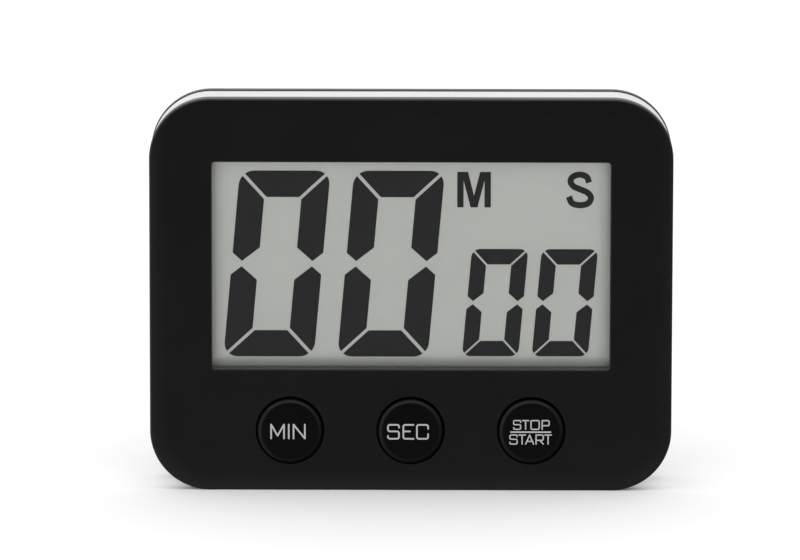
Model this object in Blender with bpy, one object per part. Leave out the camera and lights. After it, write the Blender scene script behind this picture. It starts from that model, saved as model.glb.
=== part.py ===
"""A digital kitchen timer: a thin rounded case with a display window, three buttons, a fold-out stand,
two magnets and a coin-cell compartment. It stands upright on its flat bottom edge and faces -Y.

Lengths are in millimetres until a mesh is made. A depth is counted backwards from the front face.
"""
import math

import bmesh
import bpy
from mathutils import Matrix, Vector

MM = 0.001

# The case: a black front panel, a white middle housing and a black back cover.
CASE_WIDTH = 80.0
CASE_HEIGHT = 60.7
CASE_DEPTH = 13.0
CORNER_RADIUS = 9.3
PANEL_BACK = 2.4
SEAM = 0.1
COVER_FRONT = 9.6
HOUSING_INSET = 0.15
HOUSING_WALL = 1.9
LIP = 1.0
LIP_GAP = 0.15
EDGE_ROUND = 0.3
COVER_ROUND = 1.8

# The display window and the display behind it.
WINDOW_WIDTH = 60.9
WINDOW_HEIGHT = 32.1
WINDOW_CENTRE = 34.9
LENS_FRONT = 2.4
LENS_BACK = 3.4
LENS_OVERLAP = 1.0
LENS_GAP = 0.3
GASKET_FRONT = 3.5
GASKET_BACK = 4.0
DISPLAY_FRONT = 3.8
FILM = 0.2
GLASS = 0.7
SHEET_GAP = 0.1
DISPLAY_SIDE = 31.0
DISPLAY_LOW = 18.1
DISPLAY_TOP = 51.6
CONTACT_EDGE_TOP = 54.6

# The three buttons and the keypad behind them.
BUTTON_SPACING = 18.5
BUTTON_HEIGHT = 9.35
BUTTON_RADIUS = 5.0
BUTTON_PROUD = 1.0
BUTTON_GAP = 0.2
BUTTON_ROUND = 0.7
FLANGE_RADIUS = 5.9
FLANGE_FRONT = 2.7
FLANGE_BACK = 3.4
PLUNGER_RADIUS = 2.0
PLUNGER_BACK = 4.8
DOME_FRONT = 4.9
KEYPAD_FRONT = 6.5
KEYPAD_BACK = 6.9

# The circuit board and how it is held.
BOARD_FRONT = 7.0
BOARD_BACK = 8.0
BOARD_INSET = 3.0
BOARD_CORNER = 6.3
POST_RADIUS = 1.5
POST_X = 29.0
POST_Z = 9.2
FRAME_SCREW_X = 20.0
FRAME_SCREW_Z = 56.0

# The case screws, which run from the back cover into the front panel's corner bosses.
BOSS_INSET = 5.9
BOSS_RADIUS = 2.0
BOSS_BACK = 10.0
BOSS_CLEARANCE = 0.2
SHANK_RADIUS = 0.8
SHANK_GAP = 0.15
HEAD_RADIUS = 1.9
HEAD_FRONT = 11.6
HEAD_BACK = 12.7
COUNTERBORE_FRONT = 11.5

# The back cover's floor and what is let into it.
COVER_INSIDE = 10.2
STAND_HINGE_DEPTH = 12.0
STAND_HINGE_Z = 42.0
STAND_LENGTH = 34.0
STAND_HALF_WIDTH = 10.0
STAND_INNER = 0.6
STAND_OUTER = 0.8
STAND_HEEL = 0.82
STAND_GAP = 0.3
STAND_RECESS_FRONT = 11.0
STAND_PIN_RADIUS = 0.5
STAND_PIN_REACH = 1.5
MAGNET_X = 24.0
MAGNET_Z = 50.0
MAGNET_RADIUS = 5.0
MAGNET_FRONT = 11.3
FLUSH_BACK = 12.95

# The coin cell under its quarter-turn door, on one side, and the sounder on the other.
CELL_X = -26.0
CELL_Z = 24.0
CELL_RADIUS = 10.0
CELL_FRONT = 8.45
CELL_THICKNESS = 3.2
CELL_BORE = 10.6
DOOR_RADIUS = 11.0
DOOR_FRONT = 11.8
DOOR_TAB_RADIUS = 12.15
DOOR_TAB_BACK = 12.3
DOOR_GROOVE_RADIUS = 12.4
DOOR_GROOVE_FRONT = 11.7
DOOR_GROOVE_BACK = 12.5
DOOR_LIP_RADIUS = 11.25
DOOR_TURN = math.radians(45)
DOOR_TAB_HALF_ANGLE = math.radians(14)
DOOR_NOTCH_HALF_ANGLE = math.radians(18)
SOUNDER_X = 26.0
SOUNDER_Z = 24.0
SOUNDER_RADIUS = 10.0
SOUNDER_LEDGE = 11.7

FRONT_Y = -(CASE_DEPTH - BUTTON_PROUD) / 2
PAST = 1.0
ARC_STEPS = 10
ROUND_STEPS = 28
SMALL_STEPS = 12
SMOOTH_ANGLE = math.radians(35)

BLACK_PLASTIC = ((0.008, 0.008, 0.009), 0.35, 0.0)
MATTE_BLACK = ((0.004, 0.004, 0.004), 0.55, 0.0)
WHITE_PLASTIC = ((0.80, 0.79, 0.77), 0.40, 0.0)
CLEAR_PLASTIC = ((0.90, 0.92, 0.92), 0.05, 0.0)
DISPLAY_FILM = ((0.42, 0.43, 0.40), 0.30, 0.0)
DISPLAY_GLASS = ((0.70, 0.75, 0.72), 0.08, 0.0)
FOAM = ((0.02, 0.02, 0.02), 0.95, 0.0)
GREY_PLASTIC = ((0.35, 0.35, 0.35), 0.50, 0.0)
GREY_RUBBER = ((0.10, 0.10, 0.10), 0.80, 0.0)
SILICONE = ((0.55, 0.55, 0.53), 0.60, 0.0)
CARBON = ((0.01, 0.01, 0.01), 0.85, 0.0)
BOARD_GREEN = ((0.01, 0.10, 0.03), 0.45, 0.0)
BLACK_RESIN = ((0.005, 0.005, 0.005), 0.25, 0.0)
CERAMIC = ((0.45, 0.30, 0.18), 0.55, 0.0)
WHITE_CERAMIC = ((0.75, 0.74, 0.70), 0.60, 0.0)
STEEL = ((0.60, 0.60, 0.58), 0.25, 1.0)
BRASS = ((0.72, 0.52, 0.20), 0.30, 1.0)
RED_JACKET = ((0.45, 0.02, 0.02), 0.45, 0.0)
BLACK_JACKET = ((0.01, 0.01, 0.01), 0.45, 0.0)


# ---------------------------------------------------------------- outlines and solids

def circle(radius, steps=ROUND_STEPS, x=0.0, z=0.0):
    """A closed outline of (x, z) points."""
    angles = [2 * math.pi * step / steps for step in range(steps)]
    return [(x + radius * math.cos(a), z + radius * math.sin(a)) for a in angles]


def sector(inner, outer, middle, half_angle, steps=8):
    """A ring sector's outline about the origin."""
    angles = [middle - half_angle + 2 * half_angle * step / steps for step in range(steps + 1)]
    far = [(outer * math.cos(a), outer * math.sin(a)) for a in angles]
    near = [(inner * math.cos(a), inner * math.sin(a)) for a in reversed(angles)]
    return far + near


def rectangle(x0, x1, z0, z1):
    return [(x0, z0), (x1, z0), (x1, z1), (x0, z1)]


def rounded_rectangle(x0, x1, z0, z1, radius, steps=ARC_STEPS):
    """A rectangle with arcs at its corners, counter-clockwise from the lower right corner."""
    corners = [(x1 - radius, z0 + radius, -90), (x1 - radius, z1 - radius, 0),
               (x0 + radius, z1 - radius, 90), (x0 + radius, z0 + radius, 180)]
    points = []
    for x, z, start in corners:
        for step in range(steps + 1):
            angle = math.radians(start + 90 * step / steps)
            points.append((x + radius * math.cos(angle), z + radius * math.sin(angle)))
    return points


def case_outline(inset):
    """The case's front outline, drawn in by the inset."""
    side = CASE_WIDTH / 2 - inset
    return rounded_rectangle(-side, side, inset, CASE_HEIGHT - inset, CORNER_RADIUS - inset)


def cross(reach, half_width):
    """A plus sign's outline, for a screw's driver recess."""
    a, b = half_width, reach
    return [(b, -a), (b, a), (a, a), (a, b), (-a, b), (-a, a), (-b, a), (-b, -a), (-a, -a), (-a, -b),
            (a, -b), (a, -a)]


def prism(outline, front, back):
    """The outline pushed along +Y from one depth to another."""
    bm = bmesh.new()
    verts = [bm.verts.new((x * MM, front * MM, z * MM)) for x, z in outline]
    face = bm.faces.new(verts)
    pushed = bmesh.ops.extrude_face_region(bm, geom=[face])["geom"]
    moved = [item for item in pushed if isinstance(item, bmesh.types.BMVert)]
    bmesh.ops.translate(bm, verts=moved, vec=(0, (back - front) * MM, 0))
    bmesh.ops.recalc_face_normals(bm, faces=bm.faces)
    return bm


def turned(profile, steps=ROUND_STEPS):
    """A profile of (radius, depth) points turned about the Y axis; both its ends lie on the axis."""
    bm = bmesh.new()
    verts = [bm.verts.new((radius * MM, depth * MM, 0)) for radius, depth in profile]
    edges = [bm.edges.new(pair) for pair in zip(verts, verts[1:])]
    bmesh.ops.spin(bm, geom=verts + edges, cent=(0, 0, 0), axis=(0, 1, 0), angle=2 * math.pi,
                   steps=steps, use_merge=True)
    bmesh.ops.remove_doubles(bm, verts=bm.verts, dist=0.001 * MM)
    bmesh.ops.recalc_face_normals(bm, faces=bm.faces)
    return bm


def shifted(bm, x=0.0, depth=0.0, z=0.0):
    bmesh.ops.translate(bm, verts=bm.verts, vec=(x * MM, depth * MM, z * MM))
    return bm


def rounded_at(bm, depth, amount=EDGE_ROUND, segments=2):
    """Rounds the edges that lie at one depth."""
    level = depth * MM
    edges = [e for e in bm.edges if all(abs(v.co.y - level) < 0.001 * MM for v in e.verts)]
    bmesh.ops.bevel(bm, geom=edges, offset=amount * MM, segments=segments, profile=0.5, affect="EDGES")
    return bm


# ---------------------------------------------------------------- objects

def material(name, look):
    colour, roughness, metallic = look
    made = bpy.data.materials.new(name)
    made.use_nodes = True
    shader = made.node_tree.nodes["Principled BSDF"]
    shader.inputs["Base Color"].default_value = (*colour, 1.0)
    shader.inputs["Roughness"].default_value = roughness
    shader.inputs["Metallic"].default_value = metallic
    return made


def anchor(name, x=0.0, depth=0.0, z=0.0, parent=None):
    """An empty that its pieces hang from; a depth is counted from its parent."""
    empty = bpy.data.objects.new(name, None)
    empty.location = (x * MM, depth * MM, z * MM)
    empty.parent = parent
    bpy.context.collection.objects.link(empty)
    return empty


def solid(name, bm, look, parent):
    """One named piece of the timer."""
    mesh = bpy.data.meshes.new(name)
    bm.to_mesh(mesh)
    bm.free()
    mesh.shade_smooth()
    mesh.set_sharp_from_angle(angle=SMOOTH_ANGLE)
    mesh.materials.append(material(name, look))
    piece = bpy.data.objects.new(name, mesh)
    piece.parent = parent
    bpy.context.collection.objects.link(piece)
    return piece


def shaped(piece, operation, shapes):
    """Adds shapes to a piece, or cuts them from it. The shapes stay as hidden guides."""
    for bm in shapes:
        name = f"{piece.name}_{operation.lower()}_{len(piece.modifiers)}"
        mesh = bpy.data.meshes.new(name)
        bm.to_mesh(mesh)
        bm.free()
        guide = bpy.data.objects.new(name, mesh)
        guide.parent = piece.parent
        guide.hide_render = True
        guide.display_type = "WIRE"
        bpy.context.collection.objects.link(guide)
        boolean = piece.modifiers.new(name, "BOOLEAN")
        boolean.operation = operation
        boolean.object = guide


def added(piece, *shapes):
    shaped(piece, "UNION", shapes)


def cut(piece, *shapes):
    shaped(piece, "DIFFERENCE", shapes)


# ---------------------------------------------------------------- the places of repeated pieces

def boss_places():
    side = CASE_WIDTH / 2 - BOSS_INSET
    return [(x, z) for z in (BOSS_INSET, CASE_HEIGHT - BOSS_INSET) for x in (-side, side)]


def button_places():
    return [-BUTTON_SPACING, 0.0, BUTTON_SPACING]


def window_outline(margin):
    return rounded_rectangle(-WINDOW_WIDTH / 2 - margin, WINDOW_WIDTH / 2 + margin,
                             WINDOW_CENTRE - WINDOW_HEIGHT / 2 - margin,
                             WINDOW_CENTRE + WINDOW_HEIGHT / 2 + margin, 0.5 + margin / 2, 4)


# ---------------------------------------------------------------- the case

def make_front_panel(case):
    """The black front plate with its window, button holes, locating lip, bosses and posts."""
    joined = PANEL_BACK - 0.2
    rebate_front = LENS_FRONT - LENS_GAP
    rebate_margin = LENS_OVERLAP + LENS_GAP
    rim_margin = rebate_margin + 1.6
    pilot_front = PANEL_BACK + 0.6
    lip_outside = HOUSING_INSET + HOUSING_WALL + LIP_GAP

    panel = solid("front_panel", rounded_at(prism(case_outline(0), 0, PANEL_BACK), 0), BLACK_PLASTIC, case)
    lip = prism(case_outline(lip_outside), joined, LENS_BACK)
    added(panel, lip)
    cut(panel, prism(case_outline(lip_outside + LIP), PANEL_BACK, LENS_BACK + PAST))
    added(panel, prism(window_outline(rim_margin), joined, LENS_BACK))
    for x, z in boss_places():
        added(panel, prism(circle(BOSS_RADIUS, SMALL_STEPS, x, z), joined, BOSS_BACK))
    for x in (-POST_X, POST_X):
        added(panel, prism(circle(POST_RADIUS, SMALL_STEPS, x, POST_Z), joined, BOARD_FRONT - SHEET_GAP))
    cut(panel, prism(window_outline(0), -PAST, LENS_BACK + PAST))
    cut(panel, prism(window_outline(rebate_margin), rebate_front, LENS_BACK + PAST))
    for x in button_places():
        hole = circle(BUTTON_RADIUS + BUTTON_GAP, ROUND_STEPS, x, BUTTON_HEIGHT)
        cut(panel, prism(hole, -PAST, LENS_BACK + PAST))
    pilot = SHANK_RADIUS + SHANK_GAP
    for x, z in boss_places():
        cut(panel, prism(circle(pilot, SMALL_STEPS, x, z), pilot_front, BOSS_BACK + PAST))
    for x in (-POST_X, POST_X):
        cut(panel, prism(circle(pilot, SMALL_STEPS, x, POST_Z), pilot_front, BOARD_FRONT + PAST))


def make_middle_housing(case):
    """The white band between the front panel and the back cover."""
    front, back = PANEL_BACK + SEAM, COVER_FRONT - SEAM
    housing = solid("middle_housing", prism(case_outline(HOUSING_INSET), front, back), WHITE_PLASTIC, case)
    cut(housing, prism(case_outline(HOUSING_INSET + HOUSING_WALL), front - PAST, back + PAST))


def make_back_cover(case):
    """The black back cover, let in for the stand, magnets, screws, coin-cell door and sounder."""
    lip_outside = HOUSING_INSET + HOUSING_WALL + LIP_GAP
    lip_front = COVER_FRONT - 1.0
    within = lip_front - PAST
    outside = CASE_DEPTH + PAST

    block = rounded_at(prism(case_outline(0), COVER_FRONT, CASE_DEPTH), CASE_DEPTH, COVER_ROUND)
    cover = solid("back_cover", block, BLACK_PLASTIC, case)
    added(cover, prism(case_outline(lip_outside), lip_front, COVER_FRONT + 0.2))
    cut(cover, prism(case_outline(lip_outside + LIP), within, COVER_INSIDE))
    for x, z in boss_places():
        cut(cover, prism(circle(BOSS_RADIUS + BOSS_CLEARANCE, SMALL_STEPS, x, z), within, COVER_INSIDE))
        cut(cover, prism(circle(SHANK_RADIUS + SHANK_GAP, SMALL_STEPS, x, z), within, outside))
        head_bore = circle(HEAD_RADIUS + BOSS_CLEARANCE, SMALL_STEPS, x, z)
        cut(cover, prism(head_bore, COUNTERBORE_FRONT, outside))
    cut_stand_recess(cover, outside)
    for x in (-MAGNET_X, MAGNET_X):
        pocket = circle(MAGNET_RADIUS + BOSS_CLEARANCE, ROUND_STEPS, x, MAGNET_Z)
        cut(cover, prism(pocket, MAGNET_FRONT - SHEET_GAP, outside))
    cut_cell_bay(cover, within, outside)
    cut_sounder_bay(cover, within, outside)


def cut_stand_recess(cover, outside):
    """The stand's recess, the finger scoop at its foot and the sockets for its hinge pins."""
    side = STAND_HALF_WIDTH + STAND_GAP
    low = STAND_HINGE_Z - STAND_LENGTH - STAND_GAP
    high = STAND_HINGE_Z + STAND_HEEL + 2 * STAND_GAP
    scoop_radius = 4.5
    socket_radius = STAND_PIN_RADIUS + SHANK_GAP
    socket_reach = STAND_HALF_WIDTH + STAND_PIN_REACH + STAND_GAP
    cut(cover, prism(rounded_rectangle(-side, side, low, high, 1.0, 4), STAND_RECESS_FRONT, outside))
    cut(cover, prism(circle(scoop_radius, ROUND_STEPS, 0, low), STAND_RECESS_FRONT, outside))
    socket = across(socket_radius, -socket_reach, socket_reach)
    cut(cover, shifted(socket, 0, STAND_HINGE_DEPTH, STAND_HINGE_Z))


def across(radius, x0, x1):
    """A round bar along the X axis."""
    bm = prism(circle(radius, SMALL_STEPS), x0, x1)
    bmesh.ops.rotate(bm, verts=bm.verts, cent=(0, 0, 0), matrix=Matrix.Rotation(-math.pi / 2, 3, "Z"))
    return bm


def cut_cell_bay(cover, within, outside):
    """The coin cell's bore, the door's seat and groove, and the notches its tabs come out through."""
    ring_clearance = CELL_BORE + 1.1
    shapes = [prism(circle(ring_clearance), within, COVER_INSIDE),
              prism(circle(CELL_BORE), within, DOOR_GROOVE_FRONT + SHEET_GAP),
              prism(circle(DOOR_GROOVE_RADIUS), DOOR_GROOVE_FRONT, DOOR_GROOVE_BACK),
              prism(circle(DOOR_LIP_RADIUS), DOOR_GROOVE_BACK - SHEET_GAP, outside)]
    for turn in (-DOOR_TURN, math.pi - DOOR_TURN):
        notch = sector(DOOR_LIP_RADIUS - PAST, DOOR_GROOVE_RADIUS, turn, DOOR_NOTCH_HALF_ANGLE)
        shapes.append(prism(notch, DOOR_GROOVE_BACK - SHEET_GAP, outside))
    cut(cover, *[shifted(shape, CELL_X, 0, CELL_Z) for shape in shapes])


def cut_sounder_bay(cover, within, outside):
    """The sounder's bore, the shallow chamber behind it and the sound holes."""
    chamber_radius, chamber_back = 8.5, 12.1
    hole_radius, hole_ring = 0.8, 4.2
    places = [(0.0, 0.0)] + circle(hole_ring, 6)
    shapes = [prism(circle(SOUNDER_RADIUS + 0.6), within, SOUNDER_LEDGE),
              prism(circle(chamber_radius), SOUNDER_LEDGE - SHEET_GAP, chamber_back)]
    for x, z in places:
        shapes.append(prism(circle(hole_radius, SMALL_STEPS, x, z), chamber_back - SHEET_GAP, outside))
    cut(cover, *[shifted(shape, SOUNDER_X, 0, SOUNDER_Z) for shape in shapes])


def make_magnets(case):
    disc = [(0, MAGNET_FRONT), (MAGNET_RADIUS, MAGNET_FRONT), (MAGNET_RADIUS, FLUSH_BACK - 0.2),
            (MAGNET_RADIUS - 0.2, FLUSH_BACK), (0, FLUSH_BACK)]
    for name, x in (("magnet_left", -MAGNET_X), ("magnet_right", MAGNET_X)):
        solid(name, shifted(turned(disc), x, 0, MAGNET_Z), STEEL, case)


def make_screw(name, x, z, front, head_front, head_back, radius, head_radius, case):
    """A pan-head screw whose head faces the back."""
    profile = [(0, front), (radius * 0.4, front), (radius, front + 0.8), (radius, head_front),
               (head_radius, head_front), (head_radius, head_back - 0.3),
               (head_radius - 0.3, head_back), (0, head_back)]
    screw = solid(name, shifted(turned(profile, SMALL_STEPS), x, 0, z), STEEL, case)
    driver = prism(cross(head_radius * 0.6, head_radius * 0.14), head_back - 0.5, head_back + PAST)
    cut(screw, shifted(driver, x, 0, z))


def make_screws(case):
    """Four case screws from the back, and four shorter ones that hold the circuit board."""
    for number, (x, z) in enumerate(boss_places(), 1):
        make_screw(f"case_screw_{number}", x, z, PANEL_BACK + 1.6, HEAD_FRONT, HEAD_BACK,
                   SHANK_RADIUS, HEAD_RADIUS, case)
    places = [(-POST_X, POST_Z), (POST_X, POST_Z), (-FRAME_SCREW_X, FRAME_SCREW_Z),
              (FRAME_SCREW_X, FRAME_SCREW_Z)]
    for number, (x, z) in enumerate(places, 1):
        make_screw(f"board_screw_{number}", x, z, BOARD_FRONT - 2.4, BOARD_BACK + SHEET_GAP,
                   BOARD_BACK + 1.0, SHANK_RADIUS - 0.1, HEAD_RADIUS - 0.6, case)


# ---------------------------------------------------------------- the display

def sheet(x, low, high, front, back):
    return prism(rectangle(-x, x, low, high), front, back)


def make_display(case):
    """The lens, the gasket behind it and the liquid-crystal cell's sheets, front to back."""
    lens = prism(window_outline(LENS_OVERLAP), LENS_FRONT, LENS_BACK)
    solid("display_lens", lens, CLEAR_PLASTIC, case)

    gasket_hole = sheet(DISPLAY_SIDE + 0.1, DISPLAY_LOW - 0.1, DISPLAY_TOP + 0.2, DISPLAY_FRONT - PAST,
                        GASKET_BACK + PAST)
    gasket_block = sheet(DISPLAY_SIDE + 1.8, DISPLAY_LOW - 1.8, DISPLAY_TOP + 1.7, GASKET_FRONT, GASKET_BACK)
    gasket = solid("light_gasket", gasket_block, FOAM, case)
    cut(gasket, gasket_hole)

    film_back = DISPLAY_FRONT + FILM
    front_glass = film_back + SHEET_GAP
    rear_glass = front_glass + GLASS + SHEET_GAP
    reflector = rear_glass + GLASS + SHEET_GAP
    solid("display_polariser", sheet(DISPLAY_SIDE - 0.1, DISPLAY_LOW + 0.1, DISPLAY_TOP, DISPLAY_FRONT,
                                     film_back), DISPLAY_FILM, case)
    solid("display_front_glass", sheet(DISPLAY_SIDE, DISPLAY_LOW, CONTACT_EDGE_TOP, front_glass,
                                       front_glass + GLASS), DISPLAY_GLASS, case)
    solid("display_rear_glass", sheet(DISPLAY_SIDE, DISPLAY_LOW, DISPLAY_TOP, rear_glass,
                                      rear_glass + GLASS), DISPLAY_GLASS, case)
    solid("display_reflector", sheet(DISPLAY_SIDE - 0.3, DISPLAY_LOW + 0.3, DISPLAY_TOP - 0.3, reflector,
                                     reflector + FILM), GREY_PLASTIC, case)
    solid("contact_strip", sheet(28.0, DISPLAY_TOP + 0.8, CONTACT_EDGE_TOP - 0.4, rear_glass,
                                 BOARD_FRONT - SHEET_GAP), GREY_RUBBER, case)


def make_display_frame(case):
    """The plastic frame that carries the display on the circuit board."""
    front, back = GASKET_BACK + SHEET_GAP, BOARD_FRONT - SHEET_GAP
    outside = rectangle(-DISPLAY_SIDE - 2.2, DISPLAY_SIDE + 2.2, DISPLAY_LOW - 2.1, 58.0)
    frame = solid("display_frame", prism(outside, front, back), GREY_PLASTIC, case)
    cut(frame, sheet(DISPLAY_SIDE + 0.3, DISPLAY_LOW - 0.3, CONTACT_EDGE_TOP + 0.3, front - PAST, back + PAST))
    for x, z in boss_places():
        if z > DISPLAY_TOP:
            cut(frame, prism(circle(BOSS_RADIUS + BOSS_CLEARANCE, SMALL_STEPS, x, z), front - PAST,
                             back + PAST))
    for x in (-FRAME_SCREW_X, FRAME_SCREW_X):
        pilot = circle(SHANK_RADIUS, SMALL_STEPS, x, FRAME_SCREW_Z)
        cut(frame, prism(pilot, BOARD_FRONT - 2.6, back + PAST))


# ---------------------------------------------------------------- the circuit board

def make_circuit_board(case):
    """The board fills the case; its corners are notched round the case's bosses."""
    side = CASE_WIDTH / 2 - BOARD_INSET
    outline = rounded_rectangle(-side, side, BOARD_INSET, CASE_HEIGHT - BOARD_INSET, BOARD_CORNER)
    board = solid("circuit_board", prism(outline, BOARD_FRONT, BOARD_BACK), BOARD_GREEN, case)
    for x, z in boss_places():
        notch = circle(BOSS_RADIUS + BOSS_CLEARANCE, SMALL_STEPS, x, z)
        cut(board, prism(notch, BOARD_FRONT - PAST, BOARD_BACK + PAST))
    for x, z in ((-POST_X, POST_Z), (POST_X, POST_Z), (-FRAME_SCREW_X, FRAME_SCREW_Z),
                 (FRAME_SCREW_X, FRAME_SCREW_Z)):
        hole = circle(SHANK_RADIUS + SHANK_GAP, SMALL_STEPS, x, z)
        cut(board, prism(hole, BOARD_FRONT - PAST, BOARD_BACK + PAST))


def make_board_parts(case):
    """The chip under its drop of resin, the crystal and the small chip parts, behind the board."""
    seat = BOARD_BACK + SHEET_GAP
    drop_radius, drop_height = 5.0, 1.3
    dome = [(drop_radius * math.cos(a), seat + drop_height * math.sin(a))
            for a in [math.pi / 2 * step / 6 for step in range(6)]]
    drop = turned([(0, seat)] + dome + [(0, seat + drop_height)])
    solid("chip_resin", shifted(drop, 3.0, 0, 30.0), BLACK_RESIN, case)
    solid("quartz_crystal", shifted(across(0.95, 0, 6.0), 2.0, seat + 1.0, 41.5), STEEL, case)
    for name, x, z, width, height, thick, look in (
            ("chip_capacitor_1", -4.0, 41.0, 2.0, 1.25, 0.8, CERAMIC),
            ("chip_capacitor_2", -4.0, 38.5, 2.0, 1.25, 0.8, CERAMIC),
            ("chip_resistor", -5.0, 20.0, 1.6, 0.8, 0.5, BLACK_RESIN)):
        block = rectangle(x, x + width, z, z + height)
        solid(name, prism(block, seat, seat + thick), look, case)


def make_keypad_sheet(case):
    """The silicone sheet round the three domes."""
    sheet_block = rounded_rectangle(-25.5, 25.5, 4.2, 14.6, 2.0, 4)
    keypad = solid("keypad_sheet", prism(sheet_block, KEYPAD_FRONT, KEYPAD_BACK), SILICONE, case)
    for x in button_places():
        hole = circle(4.2, ROUND_STEPS, x, BUTTON_HEIGHT)
        cut(keypad, prism(hole, KEYPAD_FRONT - PAST, KEYPAD_BACK + PAST))


# ---------------------------------------------------------------- the buttons

def make_button(name, x, case):
    """A flanged cap and its contact slide in the panel; the silicone dome between them stays put."""
    slide = anchor(f"{name}_slide", x, 0, BUTTON_HEIGHT, case)
    shoulder = BUTTON_RADIUS - BUTTON_ROUND
    rim = [(shoulder + BUTTON_ROUND * math.sin(a), BUTTON_ROUND * (1 - math.cos(a)) - BUTTON_PROUD)
           for a in [math.pi / 2 * step / 5 for step in range(6)]]
    cap = [(0, -BUTTON_PROUD)] + rim + [
        (BUTTON_RADIUS, FLANGE_FRONT), (FLANGE_RADIUS, FLANGE_FRONT), (FLANGE_RADIUS, FLANGE_BACK),
        (PLUNGER_RADIUS, FLANGE_BACK), (PLUNGER_RADIUS, PLUNGER_BACK), (0, PLUNGER_BACK)]
    solid(f"{name}_cap", turned(cap), MATTE_BLACK, slide)

    dome = [(0, DOME_FRONT), (2.6, DOME_FRONT), (2.6, DOME_FRONT + 0.6), (4.0, KEYPAD_FRONT),
            (4.0, KEYPAD_BACK), (3.4, KEYPAD_BACK), (2.1, DOME_FRONT + 0.9), (2.1, DOME_FRONT + 0.5),
            (0, DOME_FRONT + 0.5)]
    solid(f"{name}_dome", shifted(turned(dome), x, 0, BUTTON_HEIGHT), SILICONE, case)

    pill_front = DOME_FRONT + 0.6
    pill = [(0, pill_front), (1.5, pill_front), (1.5, pill_front + 0.6), (0, pill_front + 0.6)]
    solid(f"{name}_contact", turned(pill, SMALL_STEPS), CARBON, slide)


# ---------------------------------------------------------------- the stand

def make_stand(case):
    """The fold-out stand: a flap with a hinge pin at each side of its top edge."""
    hinge = anchor("stand_hinge", 0, STAND_HINGE_DEPTH, STAND_HINGE_Z, case)
    outline = rounded_rectangle(-STAND_HALF_WIDTH, STAND_HALF_WIDTH, -STAND_LENGTH, STAND_HEEL, 0.8, 4)
    flap = solid("stand_flap", rounded_at(prism(outline, -STAND_INNER, STAND_OUTER), STAND_OUTER, 0.2),
                 BLACK_PLASTIC, hinge)
    reach = STAND_HALF_WIDTH + STAND_PIN_REACH
    added(flap, across(STAND_PIN_RADIUS, -reach, 1 - STAND_HALF_WIDTH),
          across(STAND_PIN_RADIUS, STAND_HALF_WIDTH - 1, reach))
    # Two shallow grooves stiffen the flap and give a finger something to pull.
    for z in (-STAND_LENGTH + 3.0, -STAND_LENGTH + 5.0):
        groove = rounded_rectangle(-6.0, 6.0, z, z + 0.9, 0.4, 3)
        cut(flap, prism(groove, STAND_OUTER - 0.3, STAND_OUTER + PAST))


# ---------------------------------------------------------------- the coin cell

def make_cell(case):
    """The coin cell, the ring that holds it and its two spring contacts."""
    back = CELL_FRONT + CELL_THICKNESS
    small_radius = CELL_RADIUS - 1.1
    cell = [(0, CELL_FRONT), (small_radius, CELL_FRONT), (small_radius, CELL_FRONT + 0.3),
            (CELL_RADIUS - 0.3, CELL_FRONT + 0.6), (CELL_RADIUS, CELL_FRONT + 0.9),
            (CELL_RADIUS, back - 0.3), (CELL_RADIUS - 0.3, back), (0, back)]
    solid("coin_cell", shifted(turned(cell), CELL_X, 0, CELL_Z), STEEL, case)

    ring_front, ring_back = BOARD_BACK + SHEET_GAP, COVER_FRONT - SHEET_GAP
    slot_half = 2.5
    ring = solid("cell_ring", shifted(prism(circle(CELL_BORE + 0.9), ring_front, ring_back), CELL_X, 0,
                                      CELL_Z), GREY_PLASTIC, case)
    cut(ring, shifted(prism(circle(CELL_RADIUS + 0.3), ring_front - PAST, ring_back + PAST), CELL_X, 0,
                      CELL_Z))
    slot = rectangle(0, CELL_RADIUS + 5, -slot_half, slot_half)
    cut(ring, shifted(prism(slot, ring_front - PAST, ring_back + PAST), CELL_X, 0, CELL_Z))

    leaf = rectangle(-6.0, 6.0, -2.5, 2.5)
    leaf_front = BOARD_BACK + 0.1
    solid("cell_contact_minus", shifted(prism(leaf, leaf_front, leaf_front + 0.25), CELL_X, 0, CELL_Z),
          BRASS, case)

    blade, foot = 0.25, 3.0
    bend = CELL_X + CELL_RADIUS + 0.12
    contact = prism(rectangle(bend, bend + blade, CELL_Z - 2, CELL_Z + 2), leaf_front, back - 0.6)
    plus = solid("cell_contact_plus", contact, BRASS, case)
    added(plus, prism(rectangle(bend + 0.1, bend + foot, CELL_Z - 1.5, CELL_Z + 1.5), leaf_front,
                      leaf_front + blade))


def make_cell_door(case):
    """The quarter-turn door: a disc with two tabs under the cover's lip and a slot for a coin."""
    turn = anchor("cell_door_turn", CELL_X, DOOR_FRONT, CELL_Z, case)
    back = FLUSH_BACK - DOOR_FRONT
    disc = [(0, 0), (DOOR_RADIUS, 0), (DOOR_RADIUS, back - 0.2), (DOOR_RADIUS - 0.2, back), (0, back)]
    door = solid("cell_door", turned(disc, 2 * ROUND_STEPS), BLACK_PLASTIC, turn)
    for middle in (0, math.pi):
        tab = sector(DOOR_RADIUS - PAST, DOOR_TAB_RADIUS, middle, DOOR_TAB_HALF_ANGLE)
        added(door, prism(tab, 0.02, DOOR_TAB_BACK - DOOR_FRONT))
    slot = rounded_rectangle(-6.5, 6.5, -1.0, 1.0, 0.99, 6)
    cut(door, prism(slot, back - 0.6, back + PAST))


# ---------------------------------------------------------------- the sounder

def disc_at(radius, front, back):
    return shifted(prism(circle(radius), front, back), SOUNDER_X, 0, SOUNDER_Z)


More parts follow.
